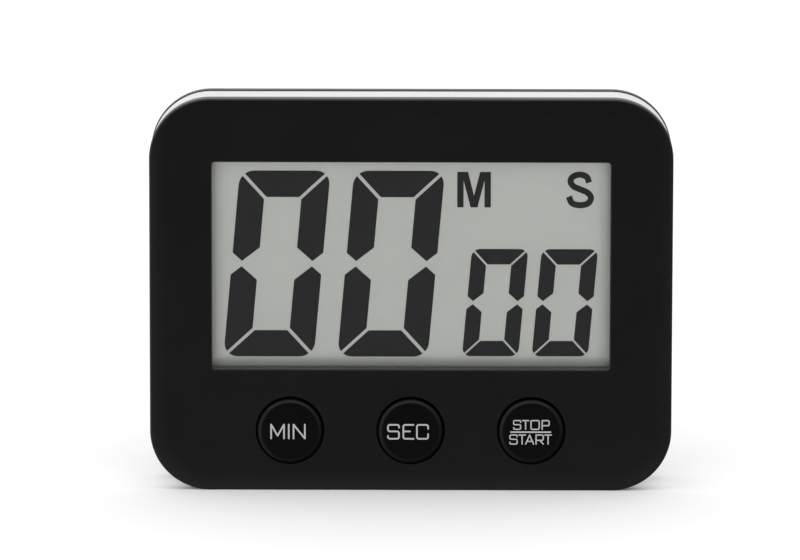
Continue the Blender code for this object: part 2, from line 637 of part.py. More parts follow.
def make_sounder(case):
    """The piezo sounder, a brass disc with a ceramic layer, and its two wires."""
    plate_back = SOUNDER_LEDGE - SHEET_GAP
    plate_front = plate_back - 0.2
    ceramic_front = plate_front - SHEET_GAP - 0.2
    solid("sounder_plate", disc_at(SOUNDER_RADIUS, plate_front, plate_back), BRASS, case)
    solid("sounder_ceramic", disc_at(7.0, ceramic_front, ceramic_front + 0.2), WHITE_CERAMIC, case)
    make_wire("sounder_wire_1", 26.5, ceramic_front - 0.5, RED_JACKET, case)
    make_wire("sounder_wire_2", 22.5, ceramic_front - 0.5, BLACK_JACKET, case)


def make_wire(name, z, depth, look, case):
    """A short wire from the sounder to the board, along one smooth curve."""
    end_depth = BOARD_BACK + 0.5
    start, lean_out = Vector((21.0, depth, z)), Vector((18.5, depth, z))
    lean_in, end = Vector((15.5, end_depth, z)), Vector((12.5, end_depth, z))
    curve = bpy.data.curves.new(name, "CURVE")
    curve.dimensions = "3D"
    curve.bevel_depth = 0.3 * MM
    curve.bevel_resolution = 2
    curve.use_fill_caps = True
    steps = 12
    spline = curve.splines.new("POLY")
    spline.points.add(steps)
    for step, point in enumerate(spline.points):
        t = step / steps
        u = 1 - t
        place = u ** 3 * start + 3 * u * u * t * lean_out + 3 * u * t * t * lean_in + t ** 3 * end
        point.co = (*(place * MM), 1.0)
    curve.materials.append(material(name, look))
    wire = bpy.data.objects.new(name, curve)
    wire.parent = case
    bpy.context.collection.objects.link(wire)


# ---------------------------------------------------------------- the whole timer

def clear_scene():
    for item in list(bpy.data.objects):
        bpy.data.objects.remove(item, do_unlink=True)


def build():
    clear_scene()
    # The case hangs from its front face, so depths become Y, and its bottom edge lies at Z = 0.
    case = anchor("case_frame", 0, FRONT_Y, 0)
    make_front_panel(case)
    make_middle_housing(case)
    make_back_cover(case)
    make_magnets(case)
    make_screws(case)
    make_display(case)
    make_display_frame(case)
    make_circuit_board(case)
    make_board_parts(case)
    make_keypad_sheet(case)
    for name, x in zip(("min_button", "sec_button", "start_stop_button"), button_places()):
        make_button(name, x, case)
    make_stand(case)
    make_cell(case)
    make_cell_door(case)
    make_sounder(case)
    bpy.context.view_layer.update()


build()
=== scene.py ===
"""The looks of a digital kitchen timer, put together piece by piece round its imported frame.

Every size is in metres. Places come from the boxes of the frame's nodes.
"""
import math

import bmesh
import bpy
from mathutils import Matrix, Vector


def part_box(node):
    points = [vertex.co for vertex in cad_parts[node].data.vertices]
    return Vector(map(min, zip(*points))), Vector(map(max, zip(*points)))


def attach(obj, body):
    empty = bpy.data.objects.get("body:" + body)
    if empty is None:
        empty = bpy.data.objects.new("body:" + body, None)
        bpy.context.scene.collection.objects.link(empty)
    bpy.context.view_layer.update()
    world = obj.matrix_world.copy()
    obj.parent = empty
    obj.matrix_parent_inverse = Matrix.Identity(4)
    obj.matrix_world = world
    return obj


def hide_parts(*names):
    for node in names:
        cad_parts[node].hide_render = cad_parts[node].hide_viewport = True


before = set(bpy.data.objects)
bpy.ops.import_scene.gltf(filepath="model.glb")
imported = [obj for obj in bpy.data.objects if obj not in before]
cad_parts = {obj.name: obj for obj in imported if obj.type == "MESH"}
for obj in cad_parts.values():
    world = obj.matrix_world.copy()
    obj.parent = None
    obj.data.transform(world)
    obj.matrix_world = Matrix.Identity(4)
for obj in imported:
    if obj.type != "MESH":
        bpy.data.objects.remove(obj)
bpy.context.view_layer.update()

bpy.ops.object.select_all(action="DESELECT")

# ---------------------------------------------------------------- the table, the light and the camera
# A plain white table top that runs on past the edges of the view, in an even pale room. One large soft
# light hangs overhead and one low, wide softbox stands in front. Behind the camera the room is dark.

MM = 0.001
face_low, face_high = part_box("front_panel")
face_centre = Vector(((face_low.x + face_high.x) / 2, face_low.y, (face_low.z + face_high.z) / 2))

bpy.ops.mesh.primitive_plane_add(size=14, location=(0, 0, 0))
table = bpy.context.object
table.name = "table_top"
table.visible_glossy = False
white_paper = bpy.data.materials.new("white_paper")
white_paper.use_nodes = True
paper = white_paper.node_tree.nodes["Principled BSDF"]
paper.inputs["Base Color"].default_value = (0.92, 0.92, 0.92, 1)
paper.inputs["Roughness"].default_value = 0.9
paper.inputs["Specular IOR Level"].default_value = 0.1
table.data.materials.append(white_paper)

room = bpy.data.worlds.new("pale_room")
room.use_nodes = True
bpy.context.scene.world = room
tree = room.node_tree
tree.nodes.clear()
place = tree.nodes.new("ShaderNodeTexCoord")
split = tree.nodes.new("ShaderNodeSeparateXYZ")
tree.links.new(place.outputs["Generated"], split.inputs[0])
ahead = tree.nodes.new("ShaderNodeMapRange")
ahead.inputs["From Min"].default_value = -1.0
ahead.inputs["From Max"].default_value = 1.0
tree.links.new(split.outputs["Y"], ahead.inputs["Value"])
dark_side = tree.nodes.new("ShaderNodeValToRGB")
tree.links.new(ahead.outputs["Result"], dark_side.inputs["Fac"])
ramp = dark_side.color_ramp
ramp.elements[0].position = 0.006
ramp.elements[0].color = (0.08, 0.08, 0.08, 1)
ramp.elements[1].position = 0.30
ramp.elements[1].color = (0.95, 0.95, 0.95, 1)
for position, level in ((0.012, 0.24), (0.022, 0.50), (0.047, 0.85)):
    stop = ramp.elements.new(position)
    stop.color = (level, level, level, 1)
toward = tree.nodes.new("ShaderNodeVectorMath")
toward.operation = "DOT_PRODUCT"
toward.inputs[1].default_value = Vector((-0.5, -0.2, 0.85)).normalized()
tree.links.new(place.outputs["Generated"], toward.inputs[0])
upper_left = tree.nodes.new("ShaderNodeMapRange")
upper_left.inputs["From Min"].default_value = -0.8
upper_left.inputs["From Max"].default_value = 0.5
upper_left.inputs["To Min"].default_value = 0.1
tree.links.new(toward.outputs["Value"], upper_left.inputs["Value"])
mirrored = tree.nodes.new("ShaderNodeBackground")
tree.links.new(dark_side.outputs["Color"], mirrored.inputs["Color"])
tree.links.new(upper_left.outputs["Result"], mirrored.inputs["Strength"])
even = tree.nodes.new("ShaderNodeBackground")
even.inputs["Color"].default_value = (1, 1, 1, 1)
even.inputs["Strength"].default_value = 1.08
path = tree.nodes.new("ShaderNodeLightPath")
choice = tree.nodes.new("ShaderNodeMixShader")
tree.links.new(path.outputs["Is Glossy Ray"], choice.inputs["Fac"])
tree.links.new(even.outputs[0], choice.inputs[1])
tree.links.new(mirrored.outputs[0], choice.inputs[2])
out = tree.nodes.new("ShaderNodeOutputWorld")
tree.links.new(choice.outputs[0], out.inputs["Surface"])

bpy.ops.object.light_add(type="SUN", location=(-0.25, -0.35, 1.0))
overhead = bpy.context.object
overhead.name = "overhead_light"
overhead.data.angle = math.radians(80)
overhead.data.energy = 0.35
overhead.rotation_euler = Vector((-0.25, -0.35, 1.0)).to_track_quat("Z", "Y").to_euler()

SOFTBOX_AWAY, SOFTBOX_WIDE, SOFTBOX_TALL = 0.7, 0.8, 0.12
bpy.ops.object.light_add(type="AREA", location=(0, -SOFTBOX_AWAY, SOFTBOX_TALL / 2),
                         rotation=(math.pi / 2, 0, 0))
softbox = bpy.context.object
softbox.name = "front_softbox"
softbox.data.shape = "RECTANGLE"
softbox.data.size = SOFTBOX_WIDE
softbox.data.size_y = SOFTBOX_TALL
softbox.data.energy = 2.6
softbox.visible_camera = False
softbox.visible_glossy = False

# The camera stands well off with a long lens, a little above the timer.
DISTANCE = 1.1
TILT, TURN, ROLL = math.radians(9.7), math.radians(-0.2), math.radians(0.10)
OFF_CENTRE = (0.00167, -0.00241)
sight = Matrix.Rotation(ROLL, 3, "Y") @ Matrix.Rotation(TILT, 3, "X") @ Matrix.Rotation(TURN, 3, "Z")
right, ahead_way, up = sight
bpy.ops.object.camera_add()
camera = bpy.context.object
camera.data.lens = 323.7
camera.data.sensor_width = 36
camera.data.clip_end = 100
turned = Matrix((right, up, -ahead_way)).transposed().to_4x4()
stand_point = face_centre + sight.transposed() @ Vector((-OFF_CENTRE[0], -DISTANCE, -OFF_CENTRE[1]))
camera.matrix_world = Matrix.Translation(stand_point) @ turned
bpy.context.scene.camera = camera
bpy.context.scene.view_settings.view_transform = "Standard"

# ---------------------------------------------------------------- the front panel
# One moulding in black satin plastic: a flat face that falls away slightly near its rim, a window, three
# button holes with softened edges, and behind them a locating lip, a rebate for the lens, screw bosses
# and two posts for the board.

CORNER = 9.3 * MM
CORNER_STEPS = 24
EDGE_ROUND = 0.3 * MM
CROWN_STEPS = ((0.8 * MM, 0.055 * MM), (0.9 * MM, 0.035 * MM), (0.9 * MM, 0.015 * MM))
MOUTH_ROUND = 0.15 * MM
PANEL_THICK = 2.4 * MM
LENS_MARGIN = 1.0 * MM
LENS_CLEARANCE = 0.3 * MM


def enter(piece):
    """Opens one piece in edit mode with nothing in it selected."""
    bpy.ops.object.select_all(action="DESELECT")
    piece.select_set(True)
    bpy.context.view_layer.objects.active = piece
    bpy.ops.object.mode_set(mode="EDIT")
    bpy.ops.mesh.select_all(action="DESELECT")


def leave():
    bpy.ops.object.mode_set(mode="OBJECT")


def pick(piece, kind, wanted):
    """Selects the faces or edges that pass a test, in edit mode."""
    bpy.ops.mesh.select_mode(type=kind)
    bm = bmesh.from_edit_mesh(piece.data)
    for item in bm.faces if kind == "FACE" else bm.edges:
        item.select_set(bool(wanted(item)))
    bmesh.update_edit_mesh(piece.data)


def at_depth(y):
    """A test for the edges that lie at one depth."""
    return lambda edge: all(abs(v.co.y - y) < 1e-7 for v in edge.verts)


def facing(y, way):
    """A test for the flat faces at one depth that look along -Y or +Y."""
    return lambda face: face.normal.y * way > 0.99 and abs(face.calc_center_median().y - y) < 1e-6


def slab(name, low, high, radius, steps=CORNER_STEPS):
    """A plate with rounded corners that fills a box, drawn as its back face and pushed to the front."""
    middle, size = (low + high) / 2, high - low
    bpy.ops.mesh.primitive_plane_add(size=1, location=(middle.x, high.y, middle.z),
                                     rotation=(math.pi / 2, 0, 0))
    piece = bpy.context.object
    piece.name = name
    piece.scale = (size.x, size.z, 1)
    bpy.ops.object.transform_apply(location=True, rotation=True, scale=True)
    enter(piece)
    bpy.ops.mesh.select_all(action="SELECT")
    bpy.ops.mesh.bevel(offset=radius, segments=steps, affect="VERTICES", clamp_overlap=False)
    bpy.ops.mesh.select_all(action="SELECT")
    bpy.ops.mesh.extrude_region_move(TRANSFORM_OT_translate={"value": (0, -size.y, 0)})
    bpy.ops.mesh.select_all(action="SELECT")
    bpy.ops.mesh.normals_make_consistent(inside=False)
    leave()
    return piece


def drum(name, x, z, radius, front, back, sides=64):
    """A round bar along the Y axis."""
    bpy.ops.mesh.primitive_cylinder_add(vertices=sides, radius=radius, depth=back - front,
                                        location=(x, (front + back) / 2, z), rotation=(math.pi / 2, 0, 0))
    piece = bpy.context.object
    piece.name = name
    bpy.ops.object.transform_apply(location=True, rotation=True, scale=True)
    return piece


def round_edge(piece, y, amount, steps=4):
    """Rounds the edges at one depth."""
    enter(piece)
    pick(piece, "EDGE", at_depth(y))
    bpy.ops.mesh.bevel(offset=amount, segments=steps, affect="EDGES", clamp_overlap=False)
    leave()


def flare_mouth(cutter, y, way, flare, steps=4):
    """Widens a cutter beyond the depth y, along a quarter circle, so the mouth that it cuts is rounded."""
    enter(cutter)
    pick(cutter, "FACE", lambda face: face.normal.y * way > 0.99)
    for step in range(steps):
        before, after = [math.pi / 2 * s / steps for s in (step, step + 1)]
        out = flare * (math.cos(before) - math.cos(after))
        along = flare * (math.sin(after) - math.sin(before))
        bpy.ops.mesh.extrude_region_move(TRANSFORM_OT_translate={"value": (0, along * way, 0)})
        grow(cutter, out)
    bpy.ops.mesh.extrude_region_move(TRANSFORM_OT_translate={"value": (0, flare * way, 0)})
    leave()


def grow(cutter, amount):
    """Moves the selected face's rim outwards in its own plane."""
    bm = bmesh.from_edit_mesh(cutter.data)
    face = next(f for f in bm.faces if f.select)
    loops = list(face.loops)
    moves = {}
    for loop in loops:
        here, past, coming = loop.vert.co, loop.link_loop_next.vert.co, loop.link_loop_prev.vert.co
        first = (here - coming).normalized().cross(face.normal)
        second = (past - here).normalized().cross(face.normal)
        lean = (first + second).normalized()
        moves[loop.vert] = lean * (amount / max(0.2, lean.dot(first)))
    for vert, move in moves.items():
        vert.co += move
    bmesh.update_edit_mesh(cutter.data)


def join(piece, other, operation):
    """Cuts another shape from a piece, or adds it, and uses the other shape up."""
    boolean = piece.modifiers.new("join", "BOOLEAN")
    boolean.operation = operation
    boolean.object = other
    bpy.ops.object.select_all(action="DESELECT")
    piece.select_set(True)
    bpy.context.view_layer.objects.active = piece
    bpy.ops.object.modifier_apply(modifier=boolean.name)
    bpy.data.objects.remove(other, do_unlink=True)


def cut(piece, other):
    join(piece, other, "DIFFERENCE")


def add(piece, other):
    join(piece, other, "UNION")


def finish_surface(piece, angle=35):
    """Shades the round parts smooth and keeps the flat ones flat."""
    bpy.ops.object.select_all(action="DESELECT")
    piece.select_set(True)
    bpy.context.view_layer.objects.active = piece
    bpy.ops.object.shade_smooth_by_angle(angle=math.radians(angle))
    weighted = piece.modifiers.new("even_normals", "WEIGHTED_NORMAL")
    weighted.keep_sharp = True
    weighted.weight = 100
    bpy.ops.object.modifier_apply(modifier=weighted.name)


def put_on(piece, material, body):
    """Gives a piece its material and its body."""
    piece.data.materials.clear()
    piece.data.materials.append(material)
    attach(piece, body)


def grown(low, high, margin):
    """A box made larger all round in X and Z."""
    edge = Vector((margin, 0, margin))
    return low - edge, high + edge


def with_depth(low, high, front, back):
    """The same box between two other depths."""
    return Vector((low.x, front, low.z)), Vector((high.x, back, high.z))


def moulded_plastic(name, colour, roughness, grain=0.12 * MM, relief=0.06):
    """Injection-moulded plastic: a fine grain from the mould and a slightly uneven sheen."""
    material = bpy.data.materials.new(name)
    material.use_nodes = True
    nodes, links = material.node_tree.nodes, material.node_tree.links
    shader = nodes["Principled BSDF"]
    where = nodes.new("ShaderNodeTexCoord")
    grain_noise = nodes.new("ShaderNodeTexNoise")
    grain_noise.inputs["Scale"].default_value = 1 / grain
    grain_noise.inputs["Detail"].default_value = 2
    cloud = nodes.new("ShaderNodeTexNoise")
    cloud.inputs["Scale"].default_value = 90
    cloud.inputs["Detail"].default_value = 3
    for noise in (grain_noise, cloud):
        links.new(where.outputs["Object"], noise.inputs["Vector"])
    bump = nodes.new("ShaderNodeBump")
    bump.inputs["Strength"].default_value = relief
    bump.inputs["Distance"].default_value = 0.02 * MM
    links.new(grain_noise.outputs["Fac"], bump.inputs["Height"])
    links.new(bump.outputs["Normal"], shader.inputs["Normal"])
    sheen = nodes.new("ShaderNodeMapRange")
    sheen.inputs["To Min"].default_value = roughness - 0.04
    sheen.inputs["To Max"].default_value = roughness + 0.04
    links.new(cloud.outputs["Fac"], sheen.inputs["Value"])
    links.new(sheen.outputs["Result"], shader.inputs["Roughness"])
    tint = nodes.new("ShaderNodeMix")
    tint.data_type = "RGBA"
    tint.inputs["A"].default_value = (*[c * 0.92 for c in colour], 1)
    tint.inputs["B"].default_value = (*[min(1.0, c * 1.08) for c in colour], 1)
    links.new(cloud.outputs["Fac"], tint.inputs["Factor"])
    links.new(tint.outputs["Result"], shader.inputs["Base Color"])
    return material


black_satin = moulded_plastic("black_satin_plastic", (0.0014, 0.0014, 0.0015), 0.25)

lens_low, lens_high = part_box("display_lens")
window_low, window_high = grown(lens_low, lens_high, -LENS_MARGIN)
crown = sum(fall for _, fall in CROWN_STEPS)
panel_front = face_low.y
panel_back = panel_front + PANEL_THICK
rim_back = lens_high.y
behind = 2 * MM

panel = slab("timer_front_panel", *with_depth(face_low, face_high, panel_front + crown, panel_back), CORNER)
round_edge(panel, panel_front + crown, EDGE_ROUND)
enter(panel)
pick(panel, "FACE", facing(panel_front + crown, -1))
for width, fall in CROWN_STEPS:
    bpy.ops.mesh.inset(thickness=width, depth=fall)
leave()

# What stands behind the face: the locating lip, the rim round the lens, four bosses and two posts.
LIP_OUT, LIP_WIDE = 2.2 * MM, 1.0 * MM
RIM_WIDE = 1.6 * MM
HEAD_ROOM = 0.2 * MM
lip = slab("lip", *with_depth(*grown(face_low, face_high, -LIP_OUT), panel_back - HEAD_ROOM, rim_back),
           CORNER - LIP_OUT)
add(panel, lip)
inner = slab("inner", *with_depth(*grown(face_low, face_high, -LIP_OUT - LIP_WIDE), panel_back,
                                  rim_back + behind), CORNER - LIP_OUT - LIP_WIDE)
cut(panel, inner)
rebate_low, rebate_high = grown(lens_low, lens_high, LENS_CLEARANCE)
rim = slab("rim", *with_depth(*grown(rebate_low, rebate_high, RIM_WIDE), panel_back - HEAD_ROOM, rim_back),
           1.5 * MM, 8)
add(panel, rim)
case_screws = [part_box(f"case_screw_{n}") for n in (1, 2, 3, 4)]
board_screws = [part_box(f"board_screw_{n}") for n in (1, 2)]
BOSS, PILOT, POST = 2.0 * MM, 0.95 * MM, 1.5 * MM
PILOT_FLOOR = 0.6 * MM
post_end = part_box("circuit_board")[0].y - 0.1 * MM
for spots, radius, back in ((case_screws, BOSS, face_high.y), (board_screws, POST, post_end)):
    for low, high in spots:
        x, z = (low.x + high.x) / 2, (low.z + high.z) / 2
        add(panel, drum("boss", x, z, radius, panel_back - HEAD_ROOM, back, 40))
        cut(panel, drum("pilot", x, z, PILOT, panel_back + PILOT_FLOOR, back + behind, 32))

# The window is cut right through and its rebate from behind.
mouth_front = panel_front + MOUTH_ROUND
opening = slab("opening", *with_depth(window_low, window_high, mouth_front, rim_back + behind), 0.5 * MM, 8)
flare_mouth(opening, mouth_front, -1, MOUTH_ROUND)
cut(panel, opening)
cut(panel, slab("rebate", *with_depth(rebate_low, rebate_high, lens_low.y - LENS_CLEARANCE,
                                      rim_back + behind), 1.0 * MM, 8))
BUTTONS = ("min_button", "sec_button", "start_stop_button")
BUTTON_GAP = 0.2 * MM
FLANGE = 0.9 * MM
for button in BUTTONS:
    low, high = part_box(f"{button}_cap")
    bore_radius = (high.x - low.x) / 2 - FLANGE + BUTTON_GAP
    bore = drum("bore", (low.x + high.x) / 2, (low.z + high.z) / 2, bore_radius, mouth_front,
                rim_back + behind, 96)
    flare_mouth(bore, mouth_front, -1, MOUTH_ROUND)
    cut(panel, bore)
finish_surface(panel)
put_on(panel, black_satin, "case")
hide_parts("front_panel")

# ---------------------------------------------------------------- the display
# A clear acrylic window over the liquid-crystal display. The film on the display's face is grey-green and
# slightly uneven, with painted shade along its left, right and lower edges. The figures are the dark cells
# under it: two large noughts for the minutes, two small ones for the seconds, and the letters M and S.

FIGURE_THICK = 0.03 * MM
CELL_GAP_SHARE = 0.12
WEDGE_PLACE = 0.38
WEDGE_TIP_GAP = 0.1
WEDGE_SLOPE = 0.83
DIGIT_CORNER_SHARE = 0.54
SLANT = math.tan(math.radians(5.1))
LENS_CORNER = 0.9 * MM
WINDOW_BEND = 8


def plate(name, outlines, front, back):
    """A flat plate from outlines of (x, z) points; an outline inside another is a hole.

    It is drawn a thousand times too large and shrunk, because the fill joins points that are very close.
    """
    drawn = bpy.data.curves.new(name, "CURVE")
    drawn.dimensions = "2D"
    drawn.fill_mode = "BOTH"
    drawn.extrude = (back - front) / 2 / MM
    for points in outlines:
        spline = drawn.splines.new("POLY")
        spline.points.add(len(points) - 1)
        for spot, (x, z) in zip(spline.points, points):
            spot.co = (x / MM, z / MM, 0, 1)
        spline.use_cyclic_u = True
    piece = bpy.data.objects.new(name, drawn)
    bpy.context.collection.objects.link(piece)
    bpy.ops.object.select_all(action="DESELECT")
    piece.select_set(True)
    bpy.context.view_layer.objects.active = piece
    bpy.ops.object.convert(target="MESH")
    piece = bpy.context.object
    piece.scale = (MM, MM, MM)
    piece.rotation_euler = (math.pi / 2, 0, 0)
    piece.location = (0, (front + back) / 2, 0)
    bpy.ops.object.transform_apply(location=True, rotation=True, scale=True)
    enter(piece)
    bpy.ops.mesh.select_all(action="SELECT")
    bpy.ops.mesh.remove_doubles(threshold=1e-7)
    bpy.ops.mesh.normals_make_consistent(inside=False)
    leave()
    return piece


def move(piece, x, z):
    """Shifts a piece across the front, in its mesh."""
    piece.data.transform(Matrix.Translation((x, 0, z)))


def copy_of(piece, name, x=0.0, z=0.0):
    """A second piece with its own mesh, shifted across the front."""
    twin = piece.copy()
    twin.data = piece.data.copy()
    twin.name = name
    bpy.context.collection.objects.link(twin)
    move(twin, x, z)
    return twin


def nought(name, wide, tall, stroke, front):
    """A ring parted at its corners by slanting gaps and at half height by two wedges, then leant over."""
    back = front + FIGURE_THICK
    deep = (front - MM, back + MM)
    gap = stroke * CELL_GAP_SHARE
    ring = slab(name, Vector((0, front, 0)), Vector((wide, back, tall)), stroke * DIGIT_CORNER_SHARE, 8)
    hole_low, hole_high = Vector((stroke, deep[0], stroke)), Vector((wide - stroke, deep[1], tall - stroke))
    cut(ring, slab("hole", hole_low, hole_high, gap / 4, 2))
    reach = stroke * 0.8
    for x, z, lean in ((0, 0, 1), (wide, 0, -1), (0, tall, -1), (wide, tall, 1)):
        bar_low, bar_high = Vector((-reach, deep[0], -gap / 2)), Vector((reach, deep[1], gap / 2))
        bar = slab("gap", bar_low, bar_high, gap / 8, 1)
        bar.rotation_euler = (0, -lean * math.pi / 4, 0)
        inward = stroke / 2
        bar.location = (x + math.copysign(inward, wide / 2 - x), 0, z + math.copysign(inward, tall / 2 - z))
        bpy.ops.object.transform_apply(location=True, rotation=True, scale=True)
        cut(ring, bar)
    tip_gap = stroke * WEDGE_TIP_GAP
    for tip, left, right in ((stroke * WEDGE_PLACE, -gap, stroke + gap),
                             (wide - stroke * WEDGE_PLACE, wide - stroke - gap, wide + gap)):
        upper = [(x, tip_gap + abs(x - tip) * WEDGE_SLOPE) for x in (left, tip, right)]
        outline = [(x, tall / 2 + rise) for x, rise in upper]
        outline += [(x, tall / 2 - rise) for x, rise in reversed(upper)]
        cut(ring, plate("wedge", [outline], *deep))
    ring.data.transform(Matrix(((1, 0, SLANT, 0), (0, 1, 0, 0), (0, 0, 1, 0), (0, 0, 0, 1))))
    return ring


def smooth_path(points, steps=6):
    """A smooth curve of (x, z) points through the given ones."""
    spots = [Vector(p) for p in points]
    spots = [2 * spots[0] - spots[1]] + spots + [2 * spots[-1] - spots[-2]]
    path = []
    for before, here, there, after in zip(spots, spots[1:], spots[2:], spots[3:]):
        for t in [step / steps for step in range(steps)]:
            path.append(here + t * (there - before) / 2
                        + t * t * (before - 2.5 * here + 2 * there - after / 2)
                        + t ** 3 * (1.5 * (here - there) + (after - before) / 2))
    return path + [spots[-2]]


def stroke_outline(path, wide, round_ends=True, closed=False):
    """The outlines of a stroke of even width along a path."""
    left, right = [], []
    count = len(path)
    for n, here in enumerate(path):
        before = path[n - 1] if n or closed else here
        after = path[(n + 1) % count] if n < count - 1 or closed else here
        along = ((here - before).normalized() + (after - here).normalized()).normalized()
        side = Vector((-along.y, along.x)) * wide / 2
        left.append(here + side)
        right.append(here - side)
    if closed:
        return [left, right]
    turned_back = right[::-1]
    if round_ends:
        left = left + half_round(path[-1], left[-1])
        turned_back = turned_back + half_round(path[0], right[0])
    return [left + turned_back]


def half_round(centre, start, steps=6):
    """The points between two ends of a half circle, clockwise from its start."""
    spoke = start - centre
    angles = [-math.pi * step / steps for step in range(1, steps)]
    return [centre + Matrix.Rotation(angle, 2) @ spoke for angle in angles]


film_low, film_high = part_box("display_polariser")
figure_front = film_low.y - 0.01 * MM - FIGURE_THICK

lens = slab("clear_window", lens_low, lens_high, LENS_CORNER, WINDOW_BEND)
round_edge(lens, lens_low.y, 0.1 * MM, 2)
round_edge(lens, lens_high.y, 0.1 * MM, 2)
finish_surface(lens)

# Clear plastic lets through what it doesn't mirror.
clear_acrylic = bpy.data.materials.new("clear_acrylic")
clear_acrylic.use_nodes = True
tree = clear_acrylic.node_tree
tree.nodes.remove(tree.nodes["Principled BSDF"])
through = tree.nodes.new("ShaderNodeBsdfTransparent")
through.inputs["Color"].default_value = (0.985, 0.99, 0.985, 1)
mirror = tree.nodes.new("ShaderNodeBsdfGlossy")
mirror.inputs["Roughness"].default_value = 0.03
share = tree.nodes.new("ShaderNodeFresnel")
share.inputs["IOR"].default_value = 1.49
blend_two = tree.nodes.new("ShaderNodeMixShader")
tree.links.new(share.outputs["Fac"], blend_two.inputs["Fac"])
tree.links.new(through.outputs[0], blend_two.inputs[1])
tree.links.new(mirror.outputs[0], blend_two.inputs[2])
tree.links.new(blend_two.outputs[0], tree.nodes["Material Output"].inputs["Surface"])
put_on(lens, clear_acrylic, "case")
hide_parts("display_lens")

film = slab("display_face_film", film_low, film_high, 0.3 * MM, 2)
finish_surface(film)


def display_film(name, colour, painted_shade_colour, painted_shade_width):
    """The face film: an even grey-green with faint mottling, and painted shade from the window's walls
    along its left, right and lower edges, darkest at the foot.
    """
    material = bpy.data.materials.new(name)
    material.use_nodes = True
    nodes, links = material.node_tree.nodes, material.node_tree.links
    shader = nodes["Principled BSDF"]
    shader.inputs["Roughness"].default_value = 0.45
    shader.inputs["Specular IOR Level"].default_value = 0.25
    where = nodes.new("ShaderNodeTexCoord")
    split = nodes.new("ShaderNodeSeparateXYZ")
    links.new(where.outputs["Object"], split.inputs[0])
    # Painted shade: a band along each side of the window darkens the film towards the wall, up to the share
    # given last (left, right, foot).
    sides = {"left": ("X", window_low.x, 1, 0.4), "right": ("X", window_high.x, -1, 0.3),
             "foot": ("Z", window_low.z, 1, 1.0)}
    painted_shade_share = None
    for side, (axis, edge, way, most) in sides.items():
        near = nodes.new("ShaderNodeMapRange")
        near.interpolation_type = "SMOOTHSTEP"
        near.inputs["From Min"].default_value = edge
        near.inputs["From Max"].default_value = edge + way * painted_shade_width[side]
        near.inputs["To Min"].default_value = most
        near.inputs["To Max"].default_value = 0.0
        links.new(split.outputs[axis], near.inputs["Value"])
        if painted_shade_share is None:
            painted_shade_share = near.outputs["Result"]
            continue
        larger = nodes.new("ShaderNodeMath")
        larger.operation = "MAXIMUM"
        links.new(painted_shade_share, larger.inputs[0])
        links.new(near.outputs["Result"], larger.inputs[1])
        painted_shade_share = larger.outputs[0]
    mottle = nodes.new("ShaderNodeTexNoise")
    mottle.inputs["Scale"].default_value = 220
    mottle.inputs["Detail"].default_value = 4
    links.new(where.outputs["Object"], mottle.inputs["Vector"])
    even = nodes.new("ShaderNodeMix")
    even.data_type = "RGBA"
    even.inputs["A"].default_value = (*[c * 0.97 for c in colour], 1)
    even.inputs["B"].default_value = (*[c * 1.03 for c in colour], 1)
    links.new(mottle.outputs["Fac"], even.inputs["Factor"])
    shaded = nodes.new("ShaderNodeMix")
    shaded.data_type = "RGBA"
    shaded.inputs["B"].default_value = (*painted_shade_colour, 1)
    links.new(painted_shade_share, shaded.inputs["Factor"])
    links.new(even.outputs["Result"], shaded.inputs["A"])
    links.new(shaded.outputs["Result"], shader.inputs["Base Color"])
    return material


# The second colour and the widths are painted shade, where the window's walls would shade the film.
film_grey = display_film("grey_green_film", (0.50, 0.505, 0.48), (0.24, 0.245, 0.235),
                         {"left": 0.9 * MM, "right": 0.7 * MM, "foot": 1.9 * MM})
put_on(film, film_grey, "case")
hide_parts("display_polariser")

dark_cell = moulded_plastic("dark_display_cell", (0.012, 0.012, 0.014), 0.45, 0.3 * MM, 0.02)
LARGE = {"wide": 13.9 * MM, "tall": 28.9 * MM, "stroke": 4.1 * MM}
SMALL = {"wide": 8.65 * MM, "tall": 16.7 * MM, "stroke": 2.4 * MM}
MINUTES_LEFT, MINUTES_FOOT, MINUTES_STEP = -28.8 * MM, 20.2 * MM, 17.5 * MM
SECONDS_LEFT, SECONDS_FOOT, SECONDS_STEP = 7.85 * MM, 20.3 * MM, 10.7 * MM
minutes_ten = nought("digit_minutes_tens", front=figure_front, **LARGE)
seconds_ten = nought("digit_seconds_tens", front=figure_front, **SMALL)
move(minutes_ten, MINUTES_LEFT, MINUTES_FOOT)
move(seconds_ten, SECONDS_LEFT, SECONDS_FOOT)
minutes_one = copy_of(minutes_ten, "digit_minutes_ones", x=MINUTES_STEP)
seconds_one = copy_of(seconds_ten, "digit_seconds_ones", x=SECONDS_STEP)

LETTER_LOW, LETTER_TALL = 43.45 * MM, 5.5 * MM
M_LEFT, S_LEFT = 7.05 * MM, 24.15 * MM
M_WIDE, M_STEM, M_PEAK, M_FOOT = 5.15 * MM, 0.97 * MM, 1.65 * MM, 1.05 * MM
half_m = [(0, 0), (0, LETTER_TALL), (M_PEAK, LETTER_TALL), (M_WIDE / 2, LETTER_TALL * 0.33)]
half_m_inside = [(M_WIDE / 2 - M_FOOT / 2, 0), (M_STEM, LETTER_TALL * 0.76), (M_STEM, 0)]
m_outline = half_m + [(M_WIDE - x, z) for x, z in reversed(half_m[:-1])]
m_outline += [(M_WIDE - x, z) for x, z in reversed(half_m_inside)] + half_m_inside
letter_m = plate("display_letter_m", [m_outline], figure_front, figure_front + FIGURE_THICK)
move(letter_m, M_LEFT, LETTER_LOW)

